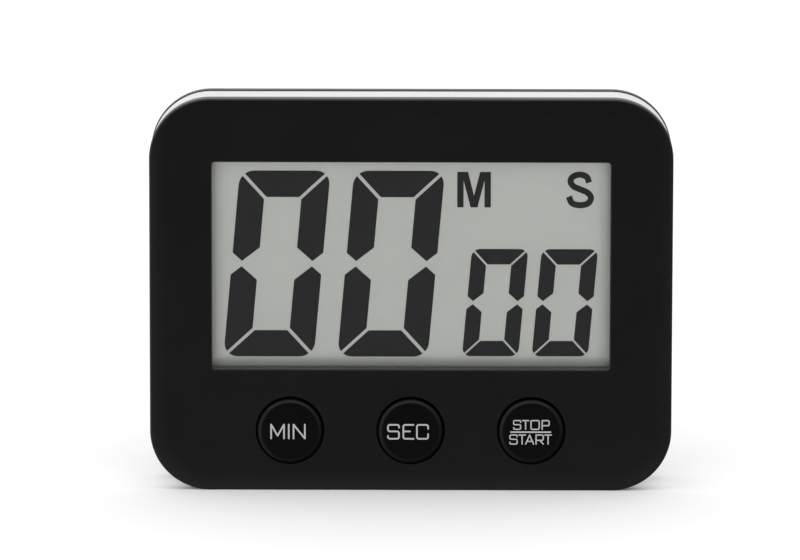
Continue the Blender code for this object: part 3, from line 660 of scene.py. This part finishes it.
S_STROKE = 0.95 * MM
S_WIDE, S_TALL = 3.38 * MM, 4.75 * MM
s_turns = [(0.91, 0.74), (0.80, 0.92), (0.50, 1.0), (0.18, 0.93), (0.07, 0.78), (0.20, 0.62), (0.50, 0.52),
           (0.84, 0.41), (1.0, 0.24), (0.86, 0.06), (0.50, 0.0), (0.14, 0.07), (0.0, 0.28)]
s_path = smooth_path([(x * S_WIDE, z * S_TALL) for x, z in s_turns])
letter_s = plate("display_letter_s", stroke_outline(s_path, S_STROKE, round_ends=False), figure_front,
                 figure_front + FIGURE_THICK)
move(letter_s, S_LEFT, LETTER_LOW + S_STROKE / 2 - 0.1 * MM)
for figure in (minutes_ten, minutes_one, seconds_ten, seconds_one, letter_m, letter_s):
    put_on(figure, dark_cell, "case")

# ---------------------------------------------------------------- the buttons
# Three round caps in matte black plastic, each with a flange behind the panel and a plunger that presses
# its dome. The words are pad-printed in light grey ink.

CAP_ROUND = 0.7 * MM
CAP_FLANGE = 0.7 * MM
PLUNGER = 2.0 * MM
INK = 0.02 * MM
BIG_STROKE, FINE_STROKE = 0.25 * MM, 0.19 * MM
LETTER_ROUND = 0.14


def lathe(name, profile, x, z, steps=96):
    """Turns a profile of (radius, y) points about an axis along Y."""
    drawn = bpy.data.curves.new(name, "CURVE")
    drawn.dimensions = "3D"
    spline = drawn.splines.new("POLY")
    spline.points.add(len(profile) - 1)
    for spot, (radius, y) in zip(spline.points, profile):
        spot.co = (radius, y, 0, 1)
    piece = bpy.data.objects.new(name, drawn)
    bpy.context.collection.objects.link(piece)
    bpy.ops.object.select_all(action="DESELECT")
    piece.select_set(True)
    bpy.context.view_layer.objects.active = piece
    bpy.ops.object.convert(target="MESH")
    piece = bpy.context.object
    enter(piece)
    bpy.ops.mesh.select_all(action="SELECT")
    bpy.ops.mesh.spin(steps=steps, angle=2 * math.pi, center=(0, 0, 0), axis=(0, 1, 0),
                      use_auto_merge=False)
    bpy.ops.mesh.select_all(action="SELECT")
    bpy.ops.mesh.remove_doubles(threshold=1e-6)
    bpy.ops.mesh.normals_make_consistent(inside=False)
    leave()
    move(piece, x, z)
    return piece


def quarter(radius, y, round_by, way, steps=8):
    """The profile of a rounded rim, from the flat at depth y to the side at the given radius."""
    angles = [math.pi / 2 * step / steps for step in range(steps + 1)]
    return [(radius - round_by * (1 - math.sin(a)), y + way * round_by * (1 - math.cos(a))) for a in angles]


def round_corners(points, radius, closed=False):
    """A path whose corners are arcs."""
    spots = [Vector(p) for p in points]
    path = []
    for n, here in enumerate(spots):
        if not closed and n in (0, len(spots) - 1):
            path.append(here)
            continue
        arriving = (here - spots[n - 1]).normalized()
        leaving = (spots[(n + 1) % len(spots)] - here).normalized()
        turn = arriving.angle_signed(leaving)
        start = here - arriving * radius * math.tan(abs(turn) / 2)
        centre = start + Vector((-arriving.y, arriving.x)) * math.copysign(radius, -turn)
        for step in range(6):
            path.append(centre + Matrix.Rotation(-turn * step / 5, 2) @ (start - centre))
    return path


# Each letter is its width, as a share of its height, and the strokes that it is drawn with.
BOWL = [(0, 0.42), (1, 0.42), (1, 1), (0, 1)]
STEM = [(0, 0), (0, 1)]
LETTERS = {
    "A": (0.86, [[(0, 0), (0.5, 1)], [(0.5, 1), (1, 0)], [(0.18, 0.3), (0.82, 0.3)]]),
    "C": (0.79, [[(1, 0.72), (1, 1), (0, 1), (0, 0), (1, 0), (1, 0.34)]]),
    "E": (0.72, [[(1, 1), (0, 1), (0, 0), (1, 0)], [(0, 0.53), (0.66, 0.53)]]),
    "I": (0.0, [STEM]),
    "M": (0.91, [STEM, [(0, 1), (0.5, 0.2)], [(0.5, 0.2), (1, 1)], [(1, 1), (1, 0)]]),
    "N": (0.80, [STEM, [(0, 1), (1, 0)], [(1, 0), (1, 1)]]),
    "O": (0.92, [[(0, 0), (1, 0), (1, 1), (0, 1), (0, 0)]]),
    "P": (0.78, [STEM, BOWL]),
    "R": (0.78, [STEM, BOWL, [(0.52, 0.42), (1, 0)]]),
    "S": (0.78, [[(1, 0.8), (1, 1), (0, 1), (0, 0.53), (1, 0.53), (1, 0), (0, 0), (0, 0.2)]]),
    "T": (0.72, [[(0, 1), (1, 1)], [(0.5, 1), (0.5, 0)]]),
}


def printed_word(name, word, x, z, tall, stroke, front, spaces):
    """A word in ink, with its centre at x and its foot at z. The spaces are those between its strokes."""
    height = tall - stroke
    lengths = [LETTERS[letter][0] * height for letter in word]
    start = -(sum(lengths) + sum(spaces)) / 2
    ink = None
    for letter, length, space in zip(word, lengths, [*spaces, 0]):
        for points in LETTERS[letter][1]:
            closed = len(points) > 2 and points[0] == points[-1]
            placed = [(start + px * length, stroke / 2 + pz * height) for px, pz in points]
            path = round_corners(placed[:-1] if closed else placed, LETTER_ROUND * height, closed)
            line = plate(name, stroke_outline(path, stroke, closed=closed), front, front + INK)
            if ink is None:
                ink = line
            else:
                add(ink, line)
        start += length + space
    ink.name = name
    move(ink, x, z)
    return ink


matte_black = moulded_plastic("matte_black_cap", (0.0005, 0.0005, 0.0006), 0.22, 0.25 * MM, 0.12)
matte_black.node_tree.nodes["Principled BSDF"].inputs["Specular IOR Level"].default_value = 0.26
grey_ink = moulded_plastic("light_grey_ink", (0.30, 0.305, 0.31), 0.6, 0.1 * MM, 0.1)

caps = [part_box(f"{button}_cap") for button in BUTTONS]
cap_low, cap_high = caps[0]
flange = (cap_high.x - cap_low.x) / 2
cap_front, plunger_back = cap_low.y, cap_high.y
cap_radius = flange - FLANGE
flange_back = rim_back
flange_front = flange_back - CAP_FLANGE
profile = [(0, cap_front)] + quarter(cap_radius, cap_front, CAP_ROUND, 1)
profile += [(cap_radius, flange_front - 0.1 * MM), (cap_radius + 0.1 * MM, flange_front)]
profile += quarter(flange, flange_front, 0.1 * MM, 1, 2)
profile += quarter(flange, flange_back, 0.1 * MM, -1, 2)[::-1]
profile += [(PLUNGER, flange_back)] + quarter(PLUNGER, plunger_back, 0.15 * MM, -1, 3)[::-1]
profile += [(0, plunger_back)]
first_cap = lathe("first_cap", profile, 0, 0)
finish_surface(first_cap)
ink_front = cap_front - INK
printed_words = {
    "min_button": [("min", "MIN", -0.3 * MM, -1.2 * MM, 2.42 * MM, BIG_STROKE, (0.73 * MM, 0.73 * MM))],
    "sec_button": [("sec", "SEC", -0.4 * MM, -1.2 * MM, 2.42 * MM, BIG_STROKE, (0.66 * MM, 0.52 * MM))],
    "start_stop_button": [
        ("stop", "STOP", 0, 0.35 * MM, 1.55 * MM, FINE_STROKE, (0.28 * MM, 0.34 * MM, 0.46 * MM)),
        ("start", "START", -0.1 * MM, -1.95 * MM, 1.6 * MM, FINE_STROKE,
         (0.26 * MM, 0.04 * MM, 0.38 * MM, 0.24 * MM)),
    ],
}
for button, (low, high) in zip(BUTTONS, caps):
    middle_x, middle_z = (low.x + high.x) / 2, (low.z + high.z) / 2
    cap = copy_of(first_cap, f"{button}_top", middle_x, middle_z)
    put_on(cap, matte_black, button)
    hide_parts(f"{button}_cap")
    for name, word, across, foot, tall, stroke, spaces in printed_words[button]:
        ink = printed_word(f"printed_{name}", word, middle_x + across, middle_z + foot, tall, stroke,
                           ink_front, spaces)
        put_on(ink, grey_ink, button)
bar_low = Vector((middle_x - 3.25 * MM, ink_front, middle_z - 0.11 * MM))
bar_high = Vector((middle_x + 3.05 * MM, ink_front + INK, middle_z + 0.12 * MM))
bar = slab("printed_bar", bar_low, bar_high, 0.1 * MM, 4)
put_on(bar, grey_ink, button)
bpy.data.objects.remove(first_cap, do_unlink=True)

# ---------------------------------------------------------------- the middle housing
# The white band between the two black mouldings: a plain satin ring of ABS, open at both ends, with its
# sharp edges just broken so that a fine shadow line shows at each seam.

HOUSING_WALL = 1.9 * MM
SEAM = 0.1 * MM
housing_low, housing_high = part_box("middle_housing")
HOUSING_CORNER = CORNER - (housing_low.x - face_low.x)
housing = slab("timer_middle_housing", housing_low, housing_high, HOUSING_CORNER)
for depth in (housing_low.y, housing_high.y):
    round_edge(housing, depth, 0.12 * MM, 3)
cut(housing, slab("inside", *with_depth(*grown(housing_low, housing_high, -HOUSING_WALL),
                                        housing_low.y - behind, housing_high.y + behind),
                  HOUSING_CORNER - HOUSING_WALL))
finish_surface(housing)
white_satin = moulded_plastic("white_satin_plastic", (0.78, 0.775, 0.76), 0.38, 0.15 * MM, 0.05)
put_on(housing, white_satin, "case")
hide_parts("middle_housing")

# ---------------------------------------------------------------- the back cover
# The second black moulding: a shallow tray with a well-rounded back edge, let in for the stand and its
# finger scoop, the two magnets, four screw heads, the coin cell with its quarter-turn door, and drilled
# with seven sound holes. Two small marks beside the door show where it is shut and where it lifts out.

COVER_ROUND = 1.75 * MM
COVER_LIP_OUT, COVER_LIP_WIDE = 2.2 * MM, 1.0 * MM
COVER_FLOOR_BEHIND = 0.6 * MM
STAND_GAP = 0.3 * MM
STAND_CLEAR_FRONT = 0.4 * MM
STAND_HALF = 10.0 * MM
RECESS_CORNER = 1.0 * MM
SCOOP = 4.5 * MM
PIN_SOCKET = 0.65 * MM
HINGE_Y, HINGE_Z = 6.0 * MM, 42.0 * MM
SHANK, HEAD_SEAT_DEEP = 0.8 * MM, 1.2 * MM
CLEAR, SHANK_GAP = 0.2 * MM, 0.15 * MM
CELL_BORE, RING_ROOM = 10.6 * MM, 11.7 * MM
GROOVE, LIP_HOLE = 12.4 * MM, 11.25 * MM
NOTCH_HALF = math.radians(18)
SOUND_HOLE, SOUND_RING = 0.8 * MM, 4.2 * MM
CHAMBER = 8.5 * MM
MARK_DEPTH = 0.15 * MM


def middle(box):
    """The centre of a box across the front: x and z."""
    low, high = box
    return (low.x + high.x) / 2, (low.z + high.z) / 2


def half_wide(box):
    return (box[1].x - box[0].x) / 2


def sink(piece, cutter, mouth, way=1, flare=MOUTH_ROUND):
    """Cuts a recess whose mouth, at the given depth, is rounded. The cutter ends one flare short of it."""
    flare_mouth(cutter, mouth - way * flare, way, flare)
    cut(piece, cutter)


def sector(x, z, inner, outer, turn, half, steps=10):
    """The outline of a ring's sector about a centre."""
    angles = [turn - half + 2 * half * step / steps for step in range(steps + 1)]
    far = [(x + outer * math.cos(a), z + outer * math.sin(a)) for a in angles]
    near = [(x + inner * math.cos(a), z + inner * math.sin(a)) for a in reversed(angles)]
    return far + near


def bar_across(name, radius, reach, y, z):
    """A round bar along the X axis, centred on the middle plane."""
    bpy.ops.mesh.primitive_cylinder_add(vertices=32, radius=radius, depth=2 * reach, location=(0, y, z),
                                        rotation=(0, math.pi / 2, 0))
    piece = bpy.context.object
    piece.name = name
    bpy.ops.object.transform_apply(location=True, rotation=True, scale=True)
    return piece


cover_low, cover_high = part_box("back_cover")
cover_front, cover_back = housing_high.y + SEAM, cover_high.y
floor = cover_front + COVER_FLOOR_BEHIND
inside, outside = cover_low.y - behind, cover_back + behind
mouth = cover_back - MOUTH_ROUND
cover = slab("timer_back_cover", *with_depth(cover_low, cover_high, cover_front, cover_back), CORNER)
round_edge(cover, cover_back, COVER_ROUND, 8)
round_edge(cover, cover_front, 0.12 * MM, 2)
add(cover, slab("lip", *with_depth(*grown(cover_low, cover_high, -COVER_LIP_OUT), cover_low.y,
                                   cover_front + HEAD_ROOM), CORNER - COVER_LIP_OUT))
cut(cover, slab("tray", *with_depth(*grown(cover_low, cover_high, -COVER_LIP_OUT - COVER_LIP_WIDE), inside,
                                    floor), CORNER - COVER_LIP_OUT - COVER_LIP_WIDE))

head_radius = half_wide(case_screws[0])
head_seat = case_screws[0][1].y - HEAD_SEAT_DEEP
for screw in case_screws:
    x, z = middle(screw)
    cut(cover, drum("boss_room", x, z, BOSS + CLEAR, inside, floor, 40))
    cut(cover, drum("screw_hole", x, z, SHANK + SHANK_GAP, inside, outside, 32))
    sink(cover, drum("counterbore", x, z, head_radius + CLEAR, head_seat, mouth, 48), cover_back)

flap_low, flap_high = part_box("stand_flap")
recess_front = flap_low.y - STAND_CLEAR_FRONT
recess_low = Vector((-STAND_HALF - STAND_GAP, recess_front, flap_low.z - STAND_GAP))
recess_high = Vector((STAND_HALF + STAND_GAP, mouth, flap_high.z + 2 * STAND_GAP))
sink(cover, drum("scoop", 0, recess_low.z, SCOOP, recess_front, mouth, 64), cover_back)
sink(cover, slab("stand_recess", recess_low, recess_high, RECESS_CORNER, 8), cover_back)
pin_reach = half_wide((flap_low, flap_high))
cut(cover, bar_across("pin_sockets", PIN_SOCKET, pin_reach + STAND_GAP, HINGE_Y, HINGE_Z))

magnets = [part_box(name) for name in ("magnet_left", "magnet_right")]
for magnet in magnets:
    sink(cover, drum("magnet_pocket", *middle(magnet), half_wide(magnet) + CLEAR,
                     magnet[0].y - 0.1 * MM, mouth, 80), cover_back)

door_low, door_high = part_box("cell_door")
door_x, door_z = middle((door_low, door_high))
tab_back = door_low.y + 0.5 * MM
groove_front, groove_back = door_low.y - 0.1 * MM, tab_back + 0.2 * MM
cut(cover, drum("ring_room", door_x, door_z, RING_ROOM, inside, floor, 96))
cut(cover, drum("cell_bore", door_x, door_z, CELL_BORE, inside, groove_front + 0.1 * MM, 96))
cut(cover, drum("groove", door_x, door_z, GROOVE, groove_front, groove_back, 96))
sink(cover, drum("lip_hole", door_x, door_z, LIP_HOLE, groove_back - 0.1 * MM, mouth, 96), cover_back)
unlock = math.pi / 4
for turn in (-unlock, math.pi - unlock):
    cut(cover, plate("notch", [sector(door_x, door_z, LIP_HOLE - MM, GROOVE, turn, NOTCH_HALF)],
                     groove_back - 0.1 * MM, outside))

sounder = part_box("sounder_plate")
sounder_x, sounder_z = middle(sounder)
ledge = sounder[1].y + 0.1 * MM
chamber_back = ledge + 0.4 * MM
cut(cover, drum("sounder_bore", sounder_x, sounder_z, half_wide(sounder) + 0.6 * MM, inside, ledge, 96))
cut(cover, drum("chamber", sounder_x, sounder_z, CHAMBER, ledge - 0.1 * MM, chamber_back, 80))
around = [math.pi / 3 * step for step in range(6)]
spots = [(0, 0)] + [(SOUND_RING * math.cos(a), SOUND_RING * math.sin(a)) for a in around]
for x, z in spots:
    sink(cover, drum("sound_hole", sounder_x + x, sounder_z + z, SOUND_HOLE, chamber_back - 0.1 * MM,
                     mouth, 32), cover_back)

# The marks: a short bar where the door is shut, and a ring where it comes out.
MARK_AWAY = GROOVE + 1.4 * MM
BAR_HALF_WIDE, BAR_HALF_TALL = 0.25 * MM, 0.7 * MM
RING_OUT, RING_IN = 0.75 * MM, 0.4 * MM
shut_x, shut_z = door_x, door_z + MARK_AWAY
mark_low = Vector((shut_x - BAR_HALF_WIDE, cover_back - MARK_DEPTH, shut_z - BAR_HALF_TALL))
mark_high = Vector((shut_x + BAR_HALF_WIDE, outside, shut_z + BAR_HALF_TALL))
cut(cover, slab("shut_mark", mark_low, mark_high, 0.2 * MM, 4))
open_x, open_z = door_x + MARK_AWAY * math.sin(unlock), door_z + MARK_AWAY * math.cos(unlock)
ring_mark = drum("open_mark", open_x, open_z, RING_OUT, cover_back - MARK_DEPTH, outside, 32)
cut(ring_mark, drum("centre", open_x, open_z, RING_IN, inside, outside + behind, 32))
cut(cover, ring_mark)
enter(cover)
bpy.ops.mesh.select_all(action="SELECT")
bpy.ops.mesh.remove_doubles(threshold=2e-6)
bpy.ops.mesh.fill_holes(sides=8)
leave()
finish_surface(cover)
put_on(cover, black_satin, "case")
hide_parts("back_cover")

# ---------------------------------------------------------------- the screws and the magnets
# Four self-tapping screws with cross recesses hold the case together from behind. Two nickel-plated disc
# magnets are glued into pockets near the top, so the timer also clings to a refrigerator door.

THREAD_PITCH = 0.7 * MM
THREAD_DEPTH = 0.16 * MM
HEAD_TALL, HEAD_ROUND = 1.1 * MM, 0.45 * MM
CROSS_REACH, CROSS_HALF, CROSS_DEEP = 1.14 * MM, 0.27 * MM, 0.5 * MM


def metal(name, colour, roughness, streak=0.0):
    """Plated or rolled metal with fine scratches and slightly uneven polish."""
    material = bpy.data.materials.new(name)
    material.use_nodes = True
    nodes, links = material.node_tree.nodes, material.node_tree.links
    shader = nodes["Principled BSDF"]
    shader.inputs["Metallic"].default_value = 1.0
    where = nodes.new("ShaderNodeTexCoord")
    stretch = nodes.new("ShaderNodeMapping")
    stretch.inputs["Scale"].default_value = (1 + 20 * streak, 1, 1)
    links.new(where.outputs["Object"], stretch.inputs["Vector"])
    scratches = nodes.new("ShaderNodeTexNoise")
    scratches.inputs["Scale"].default_value = 900
    scratches.inputs["Detail"].default_value = 5
    links.new(stretch.outputs["Vector"], scratches.inputs["Vector"])
    polish = nodes.new("ShaderNodeMapRange")
    polish.inputs["To Min"].default_value = roughness - 0.07
    polish.inputs["To Max"].default_value = roughness + 0.10
    links.new(scratches.outputs["Fac"], polish.inputs["Value"])
    links.new(polish.outputs["Result"], shader.inputs["Roughness"])
    tint = nodes.new("ShaderNodeMix")
    tint.data_type = "RGBA"
    tint.inputs["A"].default_value = (*[c * 0.88 for c in colour], 1)
    tint.inputs["B"].default_value = (*[min(1.0, c * 1.06) for c in colour], 1)
    links.new(scratches.outputs["Fac"], tint.inputs["Factor"])
    links.new(tint.outputs["Result"], shader.inputs["Base Color"])
    bump = nodes.new("ShaderNodeBump")
    bump.inputs["Strength"].default_value = 0.08
    bump.inputs["Distance"].default_value = 0.01 * MM
    links.new(scratches.outputs["Fac"], bump.inputs["Height"])
    links.new(bump.outputs["Normal"], shader.inputs["Normal"])
    return material


nickel = metal("nickel_plate", (0.62, 0.61, 0.58), 0.28)
tip, head_back = case_screws[0][0].y, case_screws[0][1].y
head_front = head_back - HEAD_TALL
root = SHANK - THREAD_DEPTH
turns = int((head_front - tip - MM) / THREAD_PITCH)
profile = [(0, tip), (0.3 * MM, tip)]
for turn in range(turns):
    y = tip + 0.2 * MM + turn * THREAD_PITCH
    profile += [(root, y), (SHANK, y + THREAD_PITCH / 2), (root, y + THREAD_PITCH * 0.9)]
profile += [(root, head_front - 0.2 * MM), (SHANK, head_front)]
profile += quarter(head_radius, head_front, 0.1 * MM, 1, 2)
profile += quarter(head_radius, head_back, HEAD_ROUND, -1, 6)[::-1]
profile += [(0, head_back)]
first_screw = lathe("first_screw", profile, 0, 0, 48)
for size in ((CROSS_REACH, CROSS_HALF), (CROSS_HALF, CROSS_REACH)):
    cut(first_screw, slab("cross", Vector((-size[0], head_back - CROSS_DEEP, -size[1])),
                          Vector((size[0], outside, size[1])), 0.1 * MM, 3))
finish_surface(first_screw)
for number, screw in enumerate(case_screws, 1):
    fastener = copy_of(first_screw, f"back_screw_{number}", *middle(screw))
    put_on(fastener, nickel, "case")
    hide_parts(f"case_screw_{number}")
bpy.data.objects.remove(first_screw, do_unlink=True)

for side, magnet in zip(("left", "right"), magnets):
    disc = drum(f"disc_magnet_{side}", *middle(magnet), half_wide(magnet), magnet[0].y, magnet[1].y, 96)
    for depth in (magnet[0].y, magnet[1].y):
        round_edge(disc, depth, 0.2 * MM, 4)
    finish_surface(disc)
    put_on(disc, nickel, "case")
    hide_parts(f"magnet_{side}")

# ---------------------------------------------------------------- the stand
# A flap of the same black plastic that lies flush in the back and swings out on two moulded pins at its
# top edge. Two grooves near its foot give a fingernail a grip.

FLAP_CORNER = 0.8 * MM
PIN = 0.5 * MM
GROOVE_FEET = (3.0 * MM, 5.0 * MM)
GRIP_HALF, GRIP_TALL, GRIP_DEEP, GRIP_MOUTH = 6.0 * MM, 0.9 * MM, 0.3 * MM, 0.1 * MM
flap = slab("fold_out_stand", Vector((-STAND_HALF, flap_low.y, flap_low.z)),
            Vector((STAND_HALF, flap_high.y, flap_high.z)), FLAP_CORNER, 10)
round_edge(flap, flap_high.y, 0.2 * MM, 4)
round_edge(flap, flap_low.y, 0.1 * MM, 2)
add(flap, bar_across("pins", PIN, pin_reach, HINGE_Y, HINGE_Z))
for above in GROOVE_FEET:
    low = Vector((-GRIP_HALF, flap_high.y - GRIP_DEEP, flap_low.z + above))
    high = Vector((GRIP_HALF, flap_high.y - GRIP_MOUTH, flap_low.z + above + GRIP_TALL))
    sink(flap, slab("groove", low, high, 0.4 * MM, 6), flap_high.y, flare=GRIP_MOUTH)
finish_surface(flap)
put_on(flap, black_satin, "stand")
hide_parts("stand_flap")

# ---------------------------------------------------------------- the coin-cell door
# A disc with two tabs that turn under the cover's lip, and a slot that a coin fits. A short line points at
# the cover's marks.

TAB_RADIUS, TAB_HALF = 12.15 * MM, math.radians(14)
POINTER_IN, POINTER_LONG, POINTER_HALF = 2.2 * MM, 1.4 * MM, 0.25 * MM
DOOR_RADIUS = 11.0 * MM
SLOT_HALF, SLOT_WIDE, SLOT_DEEP = 6.5 * MM, 1.0 * MM, 0.6 * MM
door = drum("coin_cell_door", door_x, door_z, DOOR_RADIUS, door_low.y, door_high.y, 128)
round_edge(door, door_high.y, 0.2 * MM, 4)
slot_low = Vector((door_x - SLOT_HALF, door_high.y - SLOT_DEEP, door_z - SLOT_WIDE))
slot_high = Vector((door_x + SLOT_HALF, door_high.y - MOUTH_ROUND, door_z + SLOT_WIDE))
sink(door, slab("coin_slot", slot_low, slot_high, 0.9 * SLOT_WIDE, 10), door_high.y)
line_z = door_z + DOOR_RADIUS - POINTER_IN
cut(door, slab("pointer", Vector((door_x - POINTER_HALF, door_high.y - MARK_DEPTH, line_z)),
               Vector((door_x + POINTER_HALF, outside, line_z + POINTER_LONG)), 0.2 * MM, 4))
for turn in (0, math.pi):
    add(door, plate("tab", [sector(door_x, door_z, DOOR_RADIUS - MM, TAB_RADIUS, turn, TAB_HALF)],
                    door_low.y + 0.02 * MM, tab_back))
finish_surface(door)
put_on(door, black_satin, "door")
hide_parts("cell_door")

# ---------------------------------------------------------------- what the case holds
# The display's glass, frame and contact strip, the board with its parts, the keypad and domes, the coin
# cell and its contacts, and the sounder. Their shapes are the frame's own; each gets its real finish.


def soft_rubber(name, colour, pore, relief):
    """Rubber or foam: matte, with pores of one size."""
    material = moulded_plastic(name, colour, 0.85, pore, relief)
    material.node_tree.nodes["Principled BSDF"].inputs["Specular IOR Level"].default_value = 0.2
    return material


def clear_glass(name, colour):
    """Thin display glass, nearly clear, with the faint green of its cut edges."""
    material = moulded_plastic(name, colour, 0.06, 0.5 * MM, 0.01)
    shader = material.node_tree.nodes["Principled BSDF"]
    shader.inputs["Transmission Weight"].default_value = 0.9
    return material


def circuit_laminate(name, mask, copper):
    """Green solder mask over copper: in each small square the tracks run up, run across or are absent."""
    material = moulded_plastic(name, mask, 0.35, 0.2 * MM, 0.04)
    nodes, links = material.node_tree.nodes, material.node_tree.links
    where = next(node for node in nodes if node.type == "TEX_COORD")
    split = nodes.new("ShaderNodeSeparateXYZ")
    links.new(where.outputs["Object"], split.inputs[0])
    squares = nodes.new("ShaderNodeVectorMath")
    squares.operation = "SNAP"
    squares.inputs[1].default_value = (5.2 * MM, 1.0, 5.2 * MM)
    links.new(where.outputs["Object"], squares.inputs[0])
    draw = nodes.new("ShaderNodeTexWhiteNoise")
    links.new(squares.outputs["Vector"], draw.inputs["Vector"])
    tracks = []
    for axis, least, most in (("X", 0.0, 0.35), ("Z", 0.35, 0.75)):
        wave = nodes.new("ShaderNodeMath")
        wave.operation = "PINGPONG"
        wave.inputs[1].default_value = 0.325 * MM
        links.new(split.outputs[axis], wave.inputs[0])
        line = nodes.new("ShaderNodeMath")
        line.operation = "LESS_THAN"
        line.inputs[1].default_value = 0.12 * MM
        links.new(wave.outputs[0], line.inputs[0])
        here = nodes.new("ShaderNodeMath")
        here.operation = "COMPARE"
        here.inputs[1].default_value = (least + most) / 2
        here.inputs[2].default_value = (most - least) / 2
        links.new(draw.outputs["Value"], here.inputs[0])
        both = nodes.new("ShaderNodeMath")
        both.operation = "MULTIPLY"
        links.new(line.outputs[0], both.inputs[0])
        links.new(here.outputs[0], both.inputs[1])
        tracks.append(both)
    either = nodes.new("ShaderNodeMath")
    either.operation = "ADD"
    links.new(tracks[0].outputs[0], either.inputs[0])
    links.new(tracks[1].outputs[0], either.inputs[1])
    paint = nodes.new("ShaderNodeMix")
    paint.data_type = "RGBA"
    paint.inputs["A"].default_value = (*mask, 1)
    paint.inputs["B"].default_value = (*copper, 1)
    links.new(either.outputs[0], paint.inputs["Factor"])
    links.new(paint.outputs["Result"], nodes["Principled BSDF"].inputs["Base Color"])
    return material


def striped_rubber(name, first, second, layer):
    """The striped side of the contact strip, rubber layers with and without carbon."""
    material = soft_rubber(name, first, 0.1 * MM, 0.1)
    nodes, links = material.node_tree.nodes, material.node_tree.links
    where = next(node for node in nodes if node.type == "TEX_COORD")
    bands = nodes.new("ShaderNodeTexWave")
    bands.inputs["Scale"].default_value = 1 / (layer * 20)
    links.new(where.outputs["Object"], bands.inputs["Vector"])
    stripes = nodes.new("ShaderNodeMix")
    stripes.data_type = "RGBA"
    stripes.inputs["A"].default_value = (*first, 1)
    stripes.inputs["B"].default_value = (*second, 1)
    links.new(bands.outputs["Fac"], stripes.inputs["Factor"])
    links.new(stripes.outputs["Result"], nodes["Principled BSDF"].inputs["Base Color"])
    return material


foam = soft_rubber("closed_cell_foam", (0.02, 0.02, 0.02), 0.3 * MM, 0.8)
carbon = soft_rubber("carbon_rubber", (0.01, 0.01, 0.01), 0.15 * MM, 0.3)
silicone = soft_rubber("grey_silicone", (0.52, 0.52, 0.50), 0.2 * MM, 0.1)
glass = clear_glass("display_glass", (0.78, 0.84, 0.80))
silver = metal("brushed_reflector", (0.72, 0.72, 0.70), 0.35, 1.0)
grey = moulded_plastic("grey_plastic", (0.33, 0.33, 0.33), 0.5, 0.2 * MM, 0.08)
laminate = circuit_laminate("circuit_laminate", (0.006, 0.075, 0.022), (0.02, 0.15, 0.045))
resin = moulded_plastic("black_resin", (0.006, 0.006, 0.006), 0.18, 0.6 * MM, 0.05)
tan = moulded_plastic("tan_ceramic", (0.43, 0.29, 0.17), 0.5, 0.05 * MM, 0.1)
white_fired = moulded_plastic("fired_ceramic", (0.74, 0.72, 0.67), 0.55, 0.05 * MM, 0.15)
brass = metal("rolled_brass", (0.71, 0.51, 0.20), 0.30, 0.5)
stainless = metal("stainless_can", (0.63, 0.62, 0.59), 0.24)
red_sleeve = moulded_plastic("red_insulation", (0.44, 0.02, 0.018), 0.4, 0.1 * MM, 0.05)
black_sleeve = moulded_plastic("black_insulation", (0.009, 0.009, 0.009), 0.4, 0.1 * MM, 0.05)
layers = striped_rubber("layered_rubber", (0.10, 0.10, 0.10), (0.25, 0.24, 0.22), 0.1 * MM)

finishes = {
    "light_gasket": foam, "display_front_glass": glass, "display_rear_glass": glass,
    "display_reflector": silver, "contact_strip": layers, "display_frame": grey, "circuit_board": laminate,
    "chip_resin": resin, "quartz_crystal": stainless, "chip_capacitor_1": tan, "chip_capacitor_2": tan,
    "chip_resistor": resin, "keypad_sheet": silicone, "coin_cell": stainless, "cell_ring": grey,
    "cell_contact_minus": brass, "cell_contact_plus": brass, "sounder_plate": brass,
    "sounder_ceramic": white_fired, "sounder_wire_1": red_sleeve, "sounder_wire_2": black_sleeve,
}
finishes |= {f"board_screw_{number}": nickel for number in (1, 2, 3, 4)}
finishes |= {f"{button}_dome": silicone for button in BUTTONS}
finishes |= {f"{button}_contact": carbon for button in BUTTONS}
for name, material in finishes.items():
    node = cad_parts[name]
    node.data.materials.clear()
    node.data.materials.append(material)
